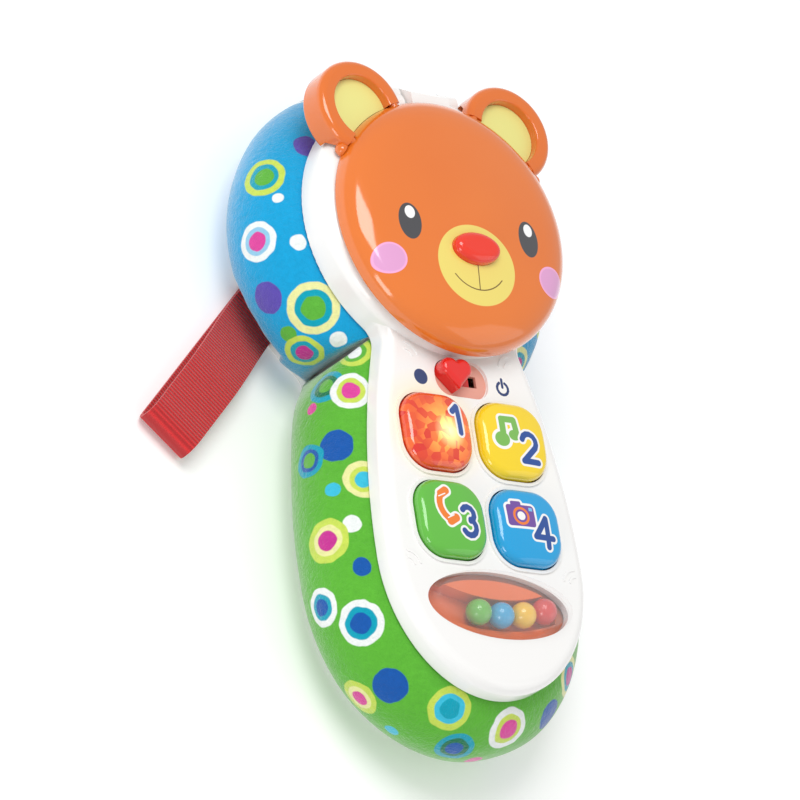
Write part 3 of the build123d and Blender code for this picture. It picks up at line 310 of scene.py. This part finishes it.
# ------------------------------------------------------------------------- settings
class PhoneSizes(bpy.types.PropertyGroup):
    head_y: bpy.props.FloatProperty(
        name="Head centre Y", description="Centre of the round head",
        default=0.053, unit="LENGTH",
    )
    head_r: bpy.props.FloatProperty(
        name="Head radius", description="Radius of the head case",
        default=0.0404, unit="LENGTH",
    )
    body_y: bpy.props.FloatProperty(
        name="Body Y", description="Widest place of the body",
        default=-0.047, unit="LENGTH",
    )
    body_half: bpy.props.FloatProperty(
        name="Body half width", description="Half width of the body",
        default=0.0332, unit="LENGTH",
    )
    body_end: bpy.props.FloatProperty(
        name="Body end", description="Length of the rounded end",
        default=0.039, unit="LENGTH",
    )
    side_r: bpy.props.FloatProperty(
        name="Side radius", description="Radius of the flank arcs",
        default=0.211, unit="LENGTH",
    )
    bulge: bpy.props.FloatProperty(
        name="Bulge", description="How far the padding stands out",
        default=0.0106, unit="LENGTH",
    )
    top_z: bpy.props.FloatProperty(
        name="Padding top", description="Height of the padding's upper edge",
        default=0.0338, unit="LENGTH",
    )
    low_z: bpy.props.FloatProperty(
        name="Padding foot", description="Height of the padding's lower edge",
        default=0.0029, unit="LENGTH",
    )
    pinch: bpy.props.FloatProperty(
        name="Seam pinch", description="How much the neck seam draws the padding in",
        default=0.30, min=0.0, max=0.6,
    )


class PhoneLook(bpy.types.PropertyGroup):
    lamp: bpy.props.FloatProperty(
        name="Key glow", description="Strength of the light in the red key",
        default=5.0, min=0.0,
    )
    nap: bpy.props.FloatProperty(
        name="Nap", description="Height of the plush surface grain",
        default=0.0005, unit="LENGTH",
    )
    rib: bpy.props.FloatProperty(
        name="Rib pitch", description="Distance between webbing ribs",
        default=0.0011, unit="LENGTH",
    )
    floor: bpy.props.FloatProperty(
        name="Floor size", description="Half width of the floor",
        default=6.0, unit="LENGTH",
    )
    camera_away: bpy.props.FloatProperty(
        name="Camera distance", description="Distance from the camera to what it aims at",
        default=1.8, unit="LENGTH",
    )


# --------------------------------------------------------------------------- plush
def bulge_point(v, s):
    """Outward offset and height on the padding's D section; v runs 0 top to 1 foot."""
    zc = (s.top_z + s.low_z) / 2
    half = (s.top_z - s.low_z) / 2
    sag = s.bulge + LIP
    r = (half * half + sag * sag) / (2 * sag)
    uc = s.bulge - r
    a0 = math.atan2(half, -LIP - uc)
    a = a0 * (1 - 2 * v)
    return uc + r * math.cos(a), zc + r * math.sin(a)


def seam_side(x, y):
    """Positive on the head side of the neck seam, in metres."""
    line = SEAM_Y - SEAM_SLOPE * (abs(x) - SEAM_X)
    return (y - line) * SEAM_NORMAL


def head_at(t, u, s):
    """Point u outside the head's outline; t is the turn from +Y in radians."""
    r = s.head_r + u
    return (r * math.sin(t), s.head_y + r * math.cos(t))


def body_rim(t, s):
    """Point and outward normal on the body outline; t from -1 (left neck) to 1 (right neck)."""
    side = -1.0 if t < 0 else 1.0
    k = abs(t)
    if k > 1 - FLANK_SHARE:
        f = (k - (1 - FLANK_SHARE)) / FLANK_SHARE
        y = s.body_y + (FLANK_TOP - s.body_y) * f
        a = math.asin((y - s.body_y) / s.side_r)
        x = s.body_half - s.side_r + s.side_r * math.cos(a)
        return (side * x, y), (side * math.cos(a), math.sin(a))
    a = -math.pi / 2 + (math.pi / 2) * (k / (1 - FLANK_SHARE))
    x = s.body_half * math.cos(a)
    y = s.body_y + s.body_end * math.sin(a)
    n = Vector((math.cos(a) / s.body_half, math.sin(a) / s.body_end)).normalized()
    return (side * x, y), (side * n[0], n[1])


def body_at(t, u, s):
    """Point u outside the body's outline."""
    p, n = body_rim(t, s)
    return (p[0] + n[0] * u, p[1] + n[1] * u)


def seam_limit(at, u, s, lo, hi, keep_head):
    """Bisects the parameter where a lengthwise line meets the neck seam."""
    for _ in range(30):
        mid = (lo + hi) / 2
        x, y = at(mid, u, s)
        side = seam_side(x, y)
        inside = side > SEAM_GAP if keep_head else side < -SEAM_GAP
        if inside:
            lo = mid
        else:
            hi = mid
    return lo


def strap_room(x, y, z):
    """Height of a padding point once the foot is hollowed for the strap's whole swing."""
    dx, dy = math.cos(STRAP_HEADING), math.sin(STRAP_HEADING)
    along = (x - STRAP_BAR[0]) * dx + (y - STRAP_BAR[1]) * dy
    aside = abs((y - STRAP_BAR[1]) * dx - (x - STRAP_BAR[0]) * dy)
    if along < 0 or aside > STRAP_ROOM_HALF:
        return z
    roof = STRAP_ROOF + STRAP_ROOF_SLOPE * along
    share = min(1.0, (STRAP_ROOM_HALF - aside) / STRAP_ROOM_FADE)
    return z + max(0.0, roof - z) * share


def soft_ring(name, at, s, centre, reach, keep_head, steps, finish, seed):
    """A closed padded band whose section is a D and whose ends meet the neck seam."""
    rows = [bulge_point(v / ROWS, s) + (True,) for v in range(ROWS + 1)]
    rows += [(INNER, z, False) for z in (s.low_z, (s.low_z + s.top_z) / 2, s.top_z)]
    bm = bmesh.new()
    grid = []
    for u, z, soft in rows:
        line = []
        for k in range(steps + 1):
            f = 2.0 * k / steps - 1.0
            way = reach * (1 if f > 0 else -1)
            end = seam_limit(at, max(u, SHALLOW), s, centre + SEAM_SEARCH_FROM * way, centre + way, keep_head)
            t = centre + (end - centre) * abs(f) if f != 0 else centre
            x, y = at(t, u, s)
            if soft:
                away = abs(seam_side(x, y))
                amount = 1.0 - s.pinch * math.exp(-((away / SEAM_PINCH_WIDTH) ** 1.5))
                uu = -LIP + (u + LIP) * amount
                lump = noise.noise(Vector((x, y, z)) * LUMP_SCALE + Vector((seed, 0, 0))) * LUMP
                edge = max(0.0, (z - PLEAT_FROM_Z) / PLEAT_FADE)
                pleat = noise.noise(Vector((x * PLEAT_SCALE, y * PLEAT_SCALE, seed))) * PLEAT * edge
                x, y = at(t, uu + lump + pleat, s)
            line.append(bm.verts.new((x, y, strap_room(x, y, z) if keep_head else z)))
        grid.append(line)
    count = len(rows)
    for r in range(count):
        a, b = grid[r], grid[(r + 1) % count]
        for k in range(steps):
            bm.faces.new((a[k], a[k + 1], b[k + 1], b[k]))
    bm.faces.new([line[0] for line in grid])
    bm.faces.new([line[-1] for line in reversed(grid)])
    return make_object(name, bm, finish)


RING = {
    "lime": rgb(205, 225, 90), "white": rgb(245, 247, 245), "cream": rgb(240, 238, 165),
    "green": rgb(96, 182, 62), "teal": rgb(0, 165, 190), "purple": rgb(96, 78, 178),
    "pink": rgb(226, 70, 160), "sky": rgb(150, 205, 235), "blue": rgb(18, 90, 175),
    "magenta": rgb(205, 50, 150), "cyan": rgb(60, 195, 225), "deep": rgb(15, 120, 80),
}
# centre x, y, z and outer radius in mm, then colours from the outside in
BLUE_DOTS = [
    (-34.2, 76.5, 32.8, 3.6, "purple"), (-46.0, 68.0, 27.0, 6.2, "lime", "teal", "green"),
    (-45.2, 60.2, 30.6, 1.6, "white"), (-49.7, 49.1, 24.3, 5.8, "white", "sky", "pink"),
    (-41.9, 46.4, 32.4, 2.4, "white"), (-46.8, 33.6, 21.3, 4.6, "purple"),
    (-38.2, 28.0, 30.0, 7.4, "cream", "teal", "green"), (-41.8, 23.0, 21.3, 2.6, "green"),
    (-30.6, 20.0, 29.1, 2.4, "white"), (-36.5, 18.0, 20.3, 6.0, "lime", "teal", "magenta"),
]
GREEN_DOTS = [
    (-27.6, 16.1, 31.5, 5.0, "lime", "green", "white"), (-35.7, 7.2, 26.1, 5.6, "teal", "deep", "green"),
    (-30.9, 3.4, 31.3, 5.6, "white", "lime", "pink"), (-38.6, 1.2, 22.3, 1.9, "pink"),
    (-37.0, -12.6, 28.9, 4.8, "blue"), (-41.4, -14.4, 21.3, 5.0, "teal", "blue", "green"),
    (-32.4, -23.8, 32.6, 5.6, "cream", "lime", "cyan"), (-39.6, -25.5, 27.8, 2.2, "cyan"),
    (-37.2, -36.4, 30.8, 2.6, "white"), (-42.1, -39.8, 25.2, 6.4, "lime", "cream", "magenta"),
    (-36.6, -49.2, 31.4, 2.6, "blue"), (-43.2, -57.0, 19.3, 5.4, "white", "teal", "blue"),
    (-37.4, -64.4, 28.2, 6.4, "white", "teal", "blue"), (-29.0, -81.0, 26.0, 5.0, "blue"),
    (-32.5, -81.4, 15.5, 5.6, "lime", "cream", "pink"), (-13.4, -88.0, 30.6, 6.2, "lime", "cyan", "teal"),
    (-22.4, -89.8, 15.3, 2.2, "cyan"), (-6.9, -95.3, 22.0, 5.6, "teal", "deep", "blue"),
    (7.0, -91.5, 29.2, 6.4, "white", "lime", "pink"), (24.0, -85.5, 27.8, 4.6, "blue"),
    (3.0, -96.2, 17.3, 2.6, "pink"),
]
EXTRA_KINDS = [
    (5.8, "lime", "teal", "green"), (2.2, "white"), (5.4, "white", "sky", "pink"), (4.2, "purple"),
    (6.0, "cream", "teal", "magenta"), (2.4, "cyan"), (5.6, "white", "teal", "blue"), (2.6, "pink"),
]


def far_dots(s, head):
    """Prints for the sides that the near list doesn't reach, spread evenly along the padding."""
    dots = list(BLUE_DOTS if head else GREEN_DOTS)
    near = len(dots)
    at = head_at if head else body_at
    lo, hi = (-0.55, 2.55) if head else (0.22, 0.985)
    length = mark = 0.0
    turn = 0
    last = at(lo, s.bulge, s)
    for k in range(FAR_SAMPLES + 1):
        t = lo + (hi - lo) * k / FAR_SAMPLES
        here = at(t, s.bulge, s)
        length += math.hypot(here[0] - last[0], here[1] - last[1])
        last = here
        if length < mark:
            continue
        mark = length + FAR_STEP
        turn += 1
        u, z = bulge_point(FAR_ROWS[turn % 4], s)
        x, y = at(t, u, s)
        spot = (x / MM, y / MM, z / MM)
        picks = [(3 * turn + 5 * step) % len(EXTRA_KINDS) for step in range(3)] + [1]
        # the first kind that fits without touching another print; the small white one as the last try
        for kind in (EXTRA_KINDS[pick] for pick in picks):
            if all(math.dist(spot, d[:3]) > d[3] + kind[0] + FAR_GAP for d in dots):
                dots.append(spot + kind)
                break
    return dots[near:]


def plush_finish(name, base, dots, look):
    f = Finish(name)
    place = f.place()
    wobble = f.node("ShaderNodeTexNoise", {}, {"Vector": place, "Scale": 260.0, "Detail": 1.0}, 1)
    centred = f.vec("SUBTRACT", wobble, (0.5, 0.5, 0.5))
    shaken = f.vec("ADD", place, f.scaled(centred, 0.0011))
    colour = f.mix(f.noise(place, 60.0), tuple(c * 0.9 for c in base[:3]) + (1.0,), base)
    for x, y, z, r, *inks in dots:
        d = f.vec("DISTANCE", shaken, (x * MM, y * MM, z * MM), "Value")
        cuts = {1: (1.0,), 2: (1.0, 0.6), 3: (1.0, 0.70, 0.46)}[len(inks)]
        for cut, ink in zip(cuts, inks):
            colour = f.mix(d.below(r * cut * MM, 0.0003), colour, RING[ink])
    fuzz = f.noise(place, 2200.0, 3.0, 0.7)
    pile = f.noise(place, 650.0, 3.0, 0.65)
    shade = (pile + fuzz * 0.5) * 1.6 - 0.7
    colour = f.mix(shade, f.vec("MULTIPLY", colour, (0.8, 0.84, 0.84)), colour)
    f.set(
        Base_Color=colour, Roughness=0.85, Sheen_Weight=0.8, Sheen_Roughness=0.4,
        Specular_IOR_Level=0.15, Normal=f.bump(fuzz * 0.6 + pile, 0.75, look.nap),
    )
    return f


class PHONE_OT_plush_head(bpy.types.Operator):
    """Blue printed padding around the head"""

    bl_idname = "phone.plush_head"
    bl_label = "Plush head"

    def execute(self, context):
        s = context.scene.phone_sizes
        look = context.scene.phone_look
        dots = BLUE_DOTS + far_dots(s, True)
        finish = plush_finish("plush_blue_print", rgb(14, 168, 224), dots, look)
        obj = soft_ring("plush_head_skin", head_at, s, 0.0, math.pi - 0.25, True, 240, finish, 1.7)
        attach(obj, "case")
        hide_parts("plush_head")
        return {"FINISHED"}


class PHONE_OT_plush_body(bpy.types.Operator):
    """Green printed padding around the body"""

    bl_idname = "phone.plush_body"
    bl_label = "Plush body"

    def execute(self, context):
        s = context.scene.phone_sizes
        look = context.scene.phone_look
        dots = GREEN_DOTS + far_dots(s, False)
        finish = plush_finish("plush_green_print", rgb(98, 188, 56), dots, look)
        obj = soft_ring("plush_body_skin", body_at, s, 0.0, 1.0, False, 260, finish, 6.1)
        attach(obj, "case")
        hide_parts("plush_body")
        return {"FINISHED"}


# ------------------------------------------------------------------------- finishes
class PHONE_OT_case(bpy.types.Operator):
    """White mouldings, printed switch marks, window, tray and inner parts"""

    bl_idname = "phone.case"
    bl_label = "Case finishes"

    def execute(self, context):
        nodes = LOADED["nodes"]
        f = Finish("white_moulding")
        place = f.place()
        x, y, z = f.split(place)
        flat = f.node("ShaderNodeCombineXYZ", {}, {0: x, 1: y})
        dot = f.spot(x, y, -14.2, 5.4, 2.3, 2.3).below(1.0, 0.06)
        ring = f.stroke(flat, arc(14.2, 5.2, 1.9, 120, 420, 12)).below(0.42 * MM, 0.00008)
        bar = f.stroke(flat, [(14.2, 5.6), (14.2, 8.0)]).below(0.42 * MM, 0.00008)
        top = z.above(0.0415, 0.0002)
        ink = (dot.max(ring).max(bar)) * top
        wear = f.noise(place, 35.0)
        # the warm yellow pool around the red key is painted light: the lit key's spill is put into the white
        # moulding's colour
        glow = f.spot(x, y, -13.0, -9.5, 19.0, 18.0).below(0.75, 0.5) * top
        # the heart slot's walls and floor are painted orange-brown: painted shade in the recess, with a
        # reddish cast of light bounced from the red slider
        depth = z.below(0.0412, 0.0004) * z.above(0.036, 0.001)
        painted_recess_shade = f.block(x, y, 0.0, 6.3, 9.2, 5.5, 5.4).below(0.0, 0.0002) * depth
        shell = f.mix(painted_recess_shade * 0.75, f.mix(glow * 0.5, WHITE, rgb(255, 240, 178)), rgb(224, 120, 84))
        f.set(
            Base_Color=f.mix(ink, shell, rgb(44, 62, 112)), Roughness=wear * 0.06 + 0.2,
            Coat_Weight=0.4, Coat_Roughness=0.05,
        )
        for node in ("front_housing", "rear_housing", "battery_door", "face_backing", "speaker_clamp"):
            apply(node, f, nodes)
        tray = gloss("tray_orange", rgb(232, 104, 30), 0.35, 0.2)
        apply("bead_tray", tray, nodes)
        clear = Finish("clear_window")
        haze = clear.noise(clear.place(), 60.0)
        clear.set(
            Base_Color=(0.95, 0.93, 0.92, 1), Roughness=0.04, Alpha=haze * 0.05 + 0.06,
            Coat_Weight=1.0, Coat_Roughness=0.03,
        )
        apply("bead_window", clear, nodes)
        mirror = Finish("mirror_film")
        haze = mirror.noise(mirror.place(), 40.0)
        mirror.set(Base_Color=(0.92, 0.93, 0.95, 1), Metallic=1.0, Roughness=haze * 0.03 + 0.02)
        apply("mirror", mirror, nodes)
        steel = Finish("plated_steel")
        grain = steel.noise(steel.place(), 400.0)
        steel.set(Base_Color=(0.55, 0.55, 0.57, 1), Metallic=1.0, Roughness=grain * 0.15 + 0.28)
        for node in (
            "hinge_pin", "strap_bar", "case_screws", "board_screws", "clamp_screws", "door_screw",
            "battery_contacts", "flap_magnet",
        ):
            apply(node, steel, nodes)
        for node, colour in (
            ("main_board", rgb(30, 105, 60)), ("slide_switch", rgb(35, 35, 38)),
            ("reed_switch", rgb(60, 60, 62)), ("switch_lever", rgb(30, 30, 32)),
            ("speaker", rgb(40, 40, 42)), ("battery_left", rgb(90, 110, 130)),
            ("battery_right", rgb(90, 110, 130)), ("keypad_membrane", rgb(205, 205, 205)),
            ("key_light", rgb(250, 235, 180)), ("battery_leads", rgb(190, 30, 30)),
            ("speaker_leads", rgb(40, 40, 45)), ("flap_bumpers", rgb(215, 215, 215)),
        ):
            apply(node, gloss(node + "_finish", colour, 0.45, 0.0), nodes)
        for k in range(1, 5):
            apply(f"key_dome_{k}", gloss(f"key_dome_{k}_finish", rgb(205, 205, 205), 0.5, 0.0), nodes)
        for name, colour in (
            ("green", rgb(96, 180, 60)), ("blue", rgb(20, 160, 210)),
            ("yellow", rgb(240, 190, 40)), ("red", rgb(214, 48, 50)),
        ):
            apply("bead_" + name, gloss("bead_" + name + "_finish", colour, 0.2, 0.5), nodes)
        return {"FINISHED"}


class PHONE_OT_face(bpy.types.Operator):
    """Orange face with its printed eyes, cheeks and muzzle, ears and nose"""

    bl_idname = "phone.face"
    bl_label = "Face finishes"

    def execute(self, context):
        nodes = LOADED["nodes"]
        f = Finish("face_print")
        place = f.place()
        x, y, z = f.split(place)
        ax = x.abs()
        flat = f.node("ShaderNodeCombineXYZ", {}, {0: x, 1: y})
        colour = f.mix(f.noise(place, 25.0), rgb(230, 122, 40), ORANGE)
        cheek = f.spot(ax, y, 28.0, 34.2, 5.0, 4.4)
        colour = f.mix(cheek.below(1.0, 0.03), colour, rgb(240, 170, 215))
        colour = f.mix(cheek.below(0.88, 0.05), colour, rgb(222, 158, 205))
        muzzle = f.spot(x, y, 0.3, 34.7, 13.3, 11.8)
        colour = f.mix(muzzle.below(1.0, 0.012), colour, rgb(234, 214, 108))
        smile = f.stroke(flat, arc(0.4, 38.0, 10.6, 220, 320, 12))
        middle = f.stroke(flat, [(0.4, 34.4), (0.4, 27.4)])
        colour = f.mix(smile.min(middle).below(0.17 * MM, FINE), colour, rgb(110, 84, 30))
        eye = f.spot(ax, y, 20.6, 45.5, 3.6, 5.4)
        colour = f.mix(eye.below(1.0, 0.03), colour, rgb(66, 66, 70))
        glint = f.spot(x, y, -20.3, 48.2, 1.6, 1.9).min(f.spot(x, y, 20.9, 48.2, 1.6, 1.9))
        colour = f.mix(glint.below(1.0, 0.06), colour, rgb(246, 246, 246))
        f.set(
            Base_Color=colour, Roughness=0.14, Coat_Weight=0.7, Coat_Roughness=0.04,
            Specular_IOR_Level=0.55,
        )
        apply("face_shell", f, nodes)
        plain = gloss("ear_orange", ORANGE, 0.12, 0.7)
        apply("ear_left", plain, nodes)
        apply("ear_right", plain, nodes)
        pale = gloss("ear_pale", PALE, 0.4, 0.1)
        apply("ear_insert_left", pale, nodes)
        apply("ear_insert_right", pale, nodes)
        apply("nose", gloss("nose_red", rgb(232, 48, 24), 0.14, 0.6), nodes)
        return {"FINISHED"}


KEY_XY = {1: (-13.0, -11.5), 2: (13.0, -11.5), 3: (-13.0, -37.5), 4: (13.0, -37.5)}
DIGITS = {
    1: [[(-1.6, 2.2), (0.4, 4.0), (0.4, -4.0)]],
    2: [arc(0.0, 1.7, 2.5, 165, -35, 7) + [(-2.5, -4.0), (2.7, -4.0)]],
    3: [arc(0.0, 2.0, 2.1, 150, -75, 7) + arc(0.0, -1.9, 2.35, 75, -150, 8)],
    4: [[(1.3, -4.2), (1.3, 4.2), (-3.0, -1.6), (3.2, -1.6)]],
}
DIGIT_AT = {1: (6.2, 3.4), 2: (4.0, -2.5), 3: (4.2, -1.0), 4: (4.0, -1.6)}


class PHONE_OT_keys(bpy.types.Operator):
    """Four push keys with their printed numerals and pictures, and the heart slider"""

    bl_idname = "phone.keys"
    bl_label = "Key finishes"

    def execute(self, context):
        nodes = LOADED["nodes"]
        look = context.scene.phone_look
        bases = {2: rgb(246, 212, 30), 3: rgb(96, 186, 62), 4: rgb(10, 160, 220)}
        for number, (kx, ky) in KEY_XY.items():
            f = Finish(f"key_{number}_finish")
            place = f.place()
            x, y, z = f.split(place)
            flat = f.node("ShaderNodeCombineXYZ", {}, {0: x, 1: y})
            top = z.above(0.0425, 0.0004)

            def lines(groups, dx=0.0, dy=0.0):
                """Distance from a set of strokes placed from the key's centre."""
                best = None
                for group in groups:
                    d = f.stroke(flat, [(kx + dx + px, ky + dy + py) for px, py in group])
                    best = d if best is None else best.min(d)
                return best

            if number == 1:
                cells = f.node(
                    "ShaderNodeTexVoronoi", {"feature": "F1"}, {"Vector": place, "Scale": 420.0}, "Color"
                )
                grey = f.node("ShaderNodeSeparateColor", {}, {"Color": cells})
                # a yellow hot spot right of the key's centre is painted light from the LED, mixed into the
                # base colour; the same spot also shapes the key's emission
                glow = f.spot(x, y, kx + 2.0, ky, 9.5, 9.5)
                painted_hot_spot = glow.below(0.5, 1.2)
                colour = f.mix(grey * 0.8, rgb(214, 34, 24), rgb(246, 120, 40))
                colour = f.mix(painted_hot_spot * grey, colour, rgb(255, 214, 96))
                light = f.spot(x, y, kx + 2.6, ky - 0.6, 5.4, 5.4).below(0.35, 1.3)
                f.set(Roughness=0.08, Coat_Weight=1.0, Coat_Roughness=0.03)
                f.set(Normal=f.bump(grey, 0.5, 0.0006))
                ember = f.mix(painted_hot_spot * grey, (0.02, 0.0, 0.0, 1.0), rgb(214, 96, 30))
                lit = f.mix(light, ember, rgb(255, 232, 170))
                f.set(Emission_Strength=look.lamp * 0.35)
            else:
                deeper = tuple(c * 0.94 for c in bases[number][:3]) + (1.0,)
                colour = f.mix(f.noise(place, 70.0), bases[number], deeper)
                f.set(Roughness=0.12, Coat_Weight=0.6, Coat_Roughness=0.04)
            if number == 2:
                stem = lines([[(-4.6, 0.4), (-4.4, 5.4), (-0.4, 5.4), (0.0, 0.8)]])
                head = f.spot(x, y, kx - 5.1, ky - 0.7, 2.4, 2.2)
                head = head.min(f.spot(x, y, kx - 0.9, ky + 0.7, 1.9, 1.6))
                for edge, grow, ink in ((1.7, 1.4, WHITE), (1.0, 1.0, rgb(120, 182, 82))):
                    mark = stem.below(edge * MM, CRISP).max(head.below(grow, 0.06)) * top
                    colour = f.mix(mark, colour, ink)
            if number == 3:
                grip = lines([arc(0.2, 3.2, 5.2, 150, 232, 6)])
                ends = lines([[(-4.0, 6.2), (-2.2, 7.4)], [(-2.2, -1.8), (-0.2, -0.6)]])
                for edge, grow, ink in ((1.6, 1.85, WHITE), (0.95, 1.2, rgb(236, 124, 34))):
                    mark = grip.below(edge * MM, CRISP).max(ends.below(grow * MM, CRISP)) * top
                    colour = f.mix(mark, colour, ink)
                gaps = lines([[(-4.9, 5.4), (-2.6, 6.4)], [(-3.0, -0.9), (-0.9, 0.1)]])
                colour = f.mix(gaps.below(0.16 * MM, FINE) * top, colour, WHITE)
            if number == 4:
                body = f.block(x, y, kx - 3.1, ky + 2.6, 4.6, 3.2, 0.9)
                body = body.min(f.block(x, y, kx - 4.3, ky + 6.0, 1.7, 0.9, 0.5))
                for edge, ink in ((0.7, WHITE), (0.01, rgb(110, 72, 156))):
                    colour = f.mix(body.below(edge * MM, CRISP) * top, colour, ink)
                lens = f.spot(x, y, kx - 3.1, ky + 2.5, 2.7, 2.7)
                for cut, ink in ((1.0, rgb(236, 124, 44)), (0.72, rgb(110, 72, 156)), (0.48, WHITE)):
                    colour = f.mix(lens.below(cut, 0.06) * top, colour, ink)
                flash = f.block(x, y, kx + 0.4, ky + 4.7, 0.6, 0.5, 0.1)
                colour = f.mix(flash.below(0.01 * MM, FINE) * top, colour, rgb(120, 190, 235))
            dx, dy = DIGIT_AT[number]
            digit = lines(DIGITS[number], dx, dy)
            colour = f.mix(digit.below(1.5 * MM, CRISP) * top, colour, WHITE)
            colour = f.mix(digit.below(0.88 * MM, CRISP) * top, colour, BLUE_INK)
            f.set(Base_Color=colour)
            if number == 1:
                dark = digit.below(1.5 * MM, CRISP) * top
                f.set(Emission_Color=f.mix(dark, lit, (0.0, 0.0, 0.0, 1.0)))
            apply(f"key_{number}", f, nodes)
        apply("heart_slider", gloss("heart_red", rgb(226, 30, 24), 0.15, 0.6), nodes)
        return {"FINISHED"}


class PHONE_OT_strap(bpy.types.Operator):
    """Red ribbed webbing"""

    bl_idname = "phone.strap"
    bl_label = "Strap finish"

    def execute(self, context):
        look = context.scene.phone_look
        f = Finish("red_webbing")
        place = f.place()
        c, d = math.cos(STRAP_HEADING), math.sin(STRAP_HEADING)
        along = f.vec("DOT_PRODUCT", place, (c, d, 0.0), "Value")
        across = f.vec("DOT_PRODUCT", place, (-d, c, 0.0), "Value")
        ribs = (along * (2 * math.pi / look.rib)).sin() * 0.5 + 0.5
        threads = (across * (2 * math.pi / (look.rib * 0.55))).sin() * 0.25 + 0.25
        height = ribs + threads * ribs
        # the base colour darkens in the rib grooves and lightens on the crests: painted shade following the
        # rib bump
        f.set(
            Base_Color=f.mix(ribs, rgb(176, 18, 24), rgb(222, 34, 38)), Roughness=0.75, Sheen_Weight=0.25,
            Normal=f.bump(height, 0.8, 0.0004),
        )
        apply("strap", f, LOADED["nodes"])
        return {"FINISHED"}


# ---------------------------------------------------------------------------- stage
class PHONE_OT_stage(bpy.types.Operator):
    """Pale floor, soft lights and the camera"""

    bl_idname = "phone.stage"
    bl_label = "Stage"

    def execute(self, context):
        look = context.scene.phone_look
        scene = context.scene
        f = Finish("floor_white")
        f.set(
            Base_Color=(0.9, 0.9, 0.9, 1), Roughness=0.9,
            Emission_Color=(1, 1, 1, 1), Emission_Strength=0.16,
        )
        bm = bmesh.new()
        bmesh.ops.create_grid(bm, x_segments=2, y_segments=2, size=look.floor)
        floor = make_object("floor", bm, f)
        floor.location = (0, 0, -0.0002)
        world = bpy.data.worlds.new("studio")
        world.use_nodes = True
        world.node_tree.nodes["Background"].inputs[0].default_value = (1.0, 1.0, 1.0, 1)
        world.node_tree.nodes["Background"].inputs[1].default_value = 0.62
        scene.world = world
        for name, at, size, power in (
            ("key", (-0.35, 0.25, 0.75), 0.45, 3.6),
            ("fill", (0.7, -0.5, 0.6), 0.8, 1.2),
            ("rim", (-0.7, -0.55, 0.35), 0.3, 1.3),
        ):
            data = bpy.data.lights.new(name, "AREA")
            data.energy = power
            data.size = size
            lamp = bpy.data.objects.new(name, data)
            lamp.location = at
            aim = Vector((0.0, 0.0, 0.03)) - Vector(at)
            lamp.rotation_euler = aim.to_track_quat("-Z", "Y").to_euler()
            scene.collection.objects.link(lamp)
        right, up = Vector(VIEW_RIGHT), Vector(VIEW_UP)
        back = right.cross(up)
        aside, above = (points / VIEW_SCALE * MM for points in VIEW_SHIFT)
        aim = Vector(VIEW_CENTRE) - right * aside + up * above
        data = bpy.data.cameras.new("camera")
        data.sensor_width = SENSOR
        data.lens = VIEW_SCALE * 1000 * look.camera_away * SENSOR / VIEW_WIDTH
        data.clip_end = 100.0
        cam = bpy.data.objects.new("camera", data)
        spot = aim + back * look.camera_away
        cam.matrix_world = Matrix((
            (right.x, up.x, back.x, spot.x),
            (right.y, up.y, back.y, spot.y),
            (right.z, up.z, back.z, spot.z),
            (0, 0, 0, 1),
        ))
        scene.collection.objects.link(cam)
        scene.camera = cam
        scene.view_settings.view_transform = "Standard"
        return {"FINISHED"}


class PHONE_PT_panel(bpy.types.Panel):
    """Buttons for every step"""

    bl_label = "Toy Phone"
    bl_idname = "PHONE_PT_panel"
    bl_space_type = "VIEW_3D"
    bl_region_type = "UI"
    bl_category = "Toy Phone"

    def draw(self, context):
        for cls in OPERATORS:
            self.layout.operator(cls.bl_idname)


OPERATORS = (
    PHONE_OT_plush_head, PHONE_OT_plush_body, PHONE_OT_case, PHONE_OT_face,
    PHONE_OT_keys, PHONE_OT_strap, PHONE_OT_stage,
)
CLASSES = (PhoneSizes, PhoneLook) + OPERATORS + (PHONE_PT_panel,)


def register():
    for cls in CLASSES:
        bpy.utils.register_class(cls)
    bpy.types.Scene.phone_sizes = bpy.props.PointerProperty(type=PhoneSizes)
    bpy.types.Scene.phone_look = bpy.props.PointerProperty(type=PhoneLook)


def unregister():
    del bpy.types.Scene.phone_sizes
    del bpy.types.Scene.phone_look
    for cls in reversed(CLASSES):
        bpy.utils.unregister_class(cls)


def main():
    register()
    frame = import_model()
    LOADED["nodes"] = frame["nodes"]
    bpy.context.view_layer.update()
    for cls in OPERATORS:
        group, call = cls.bl_idname.split(".")
        getattr(getattr(bpy.ops, group), call)()


if __name__ == "__main__":
    main()
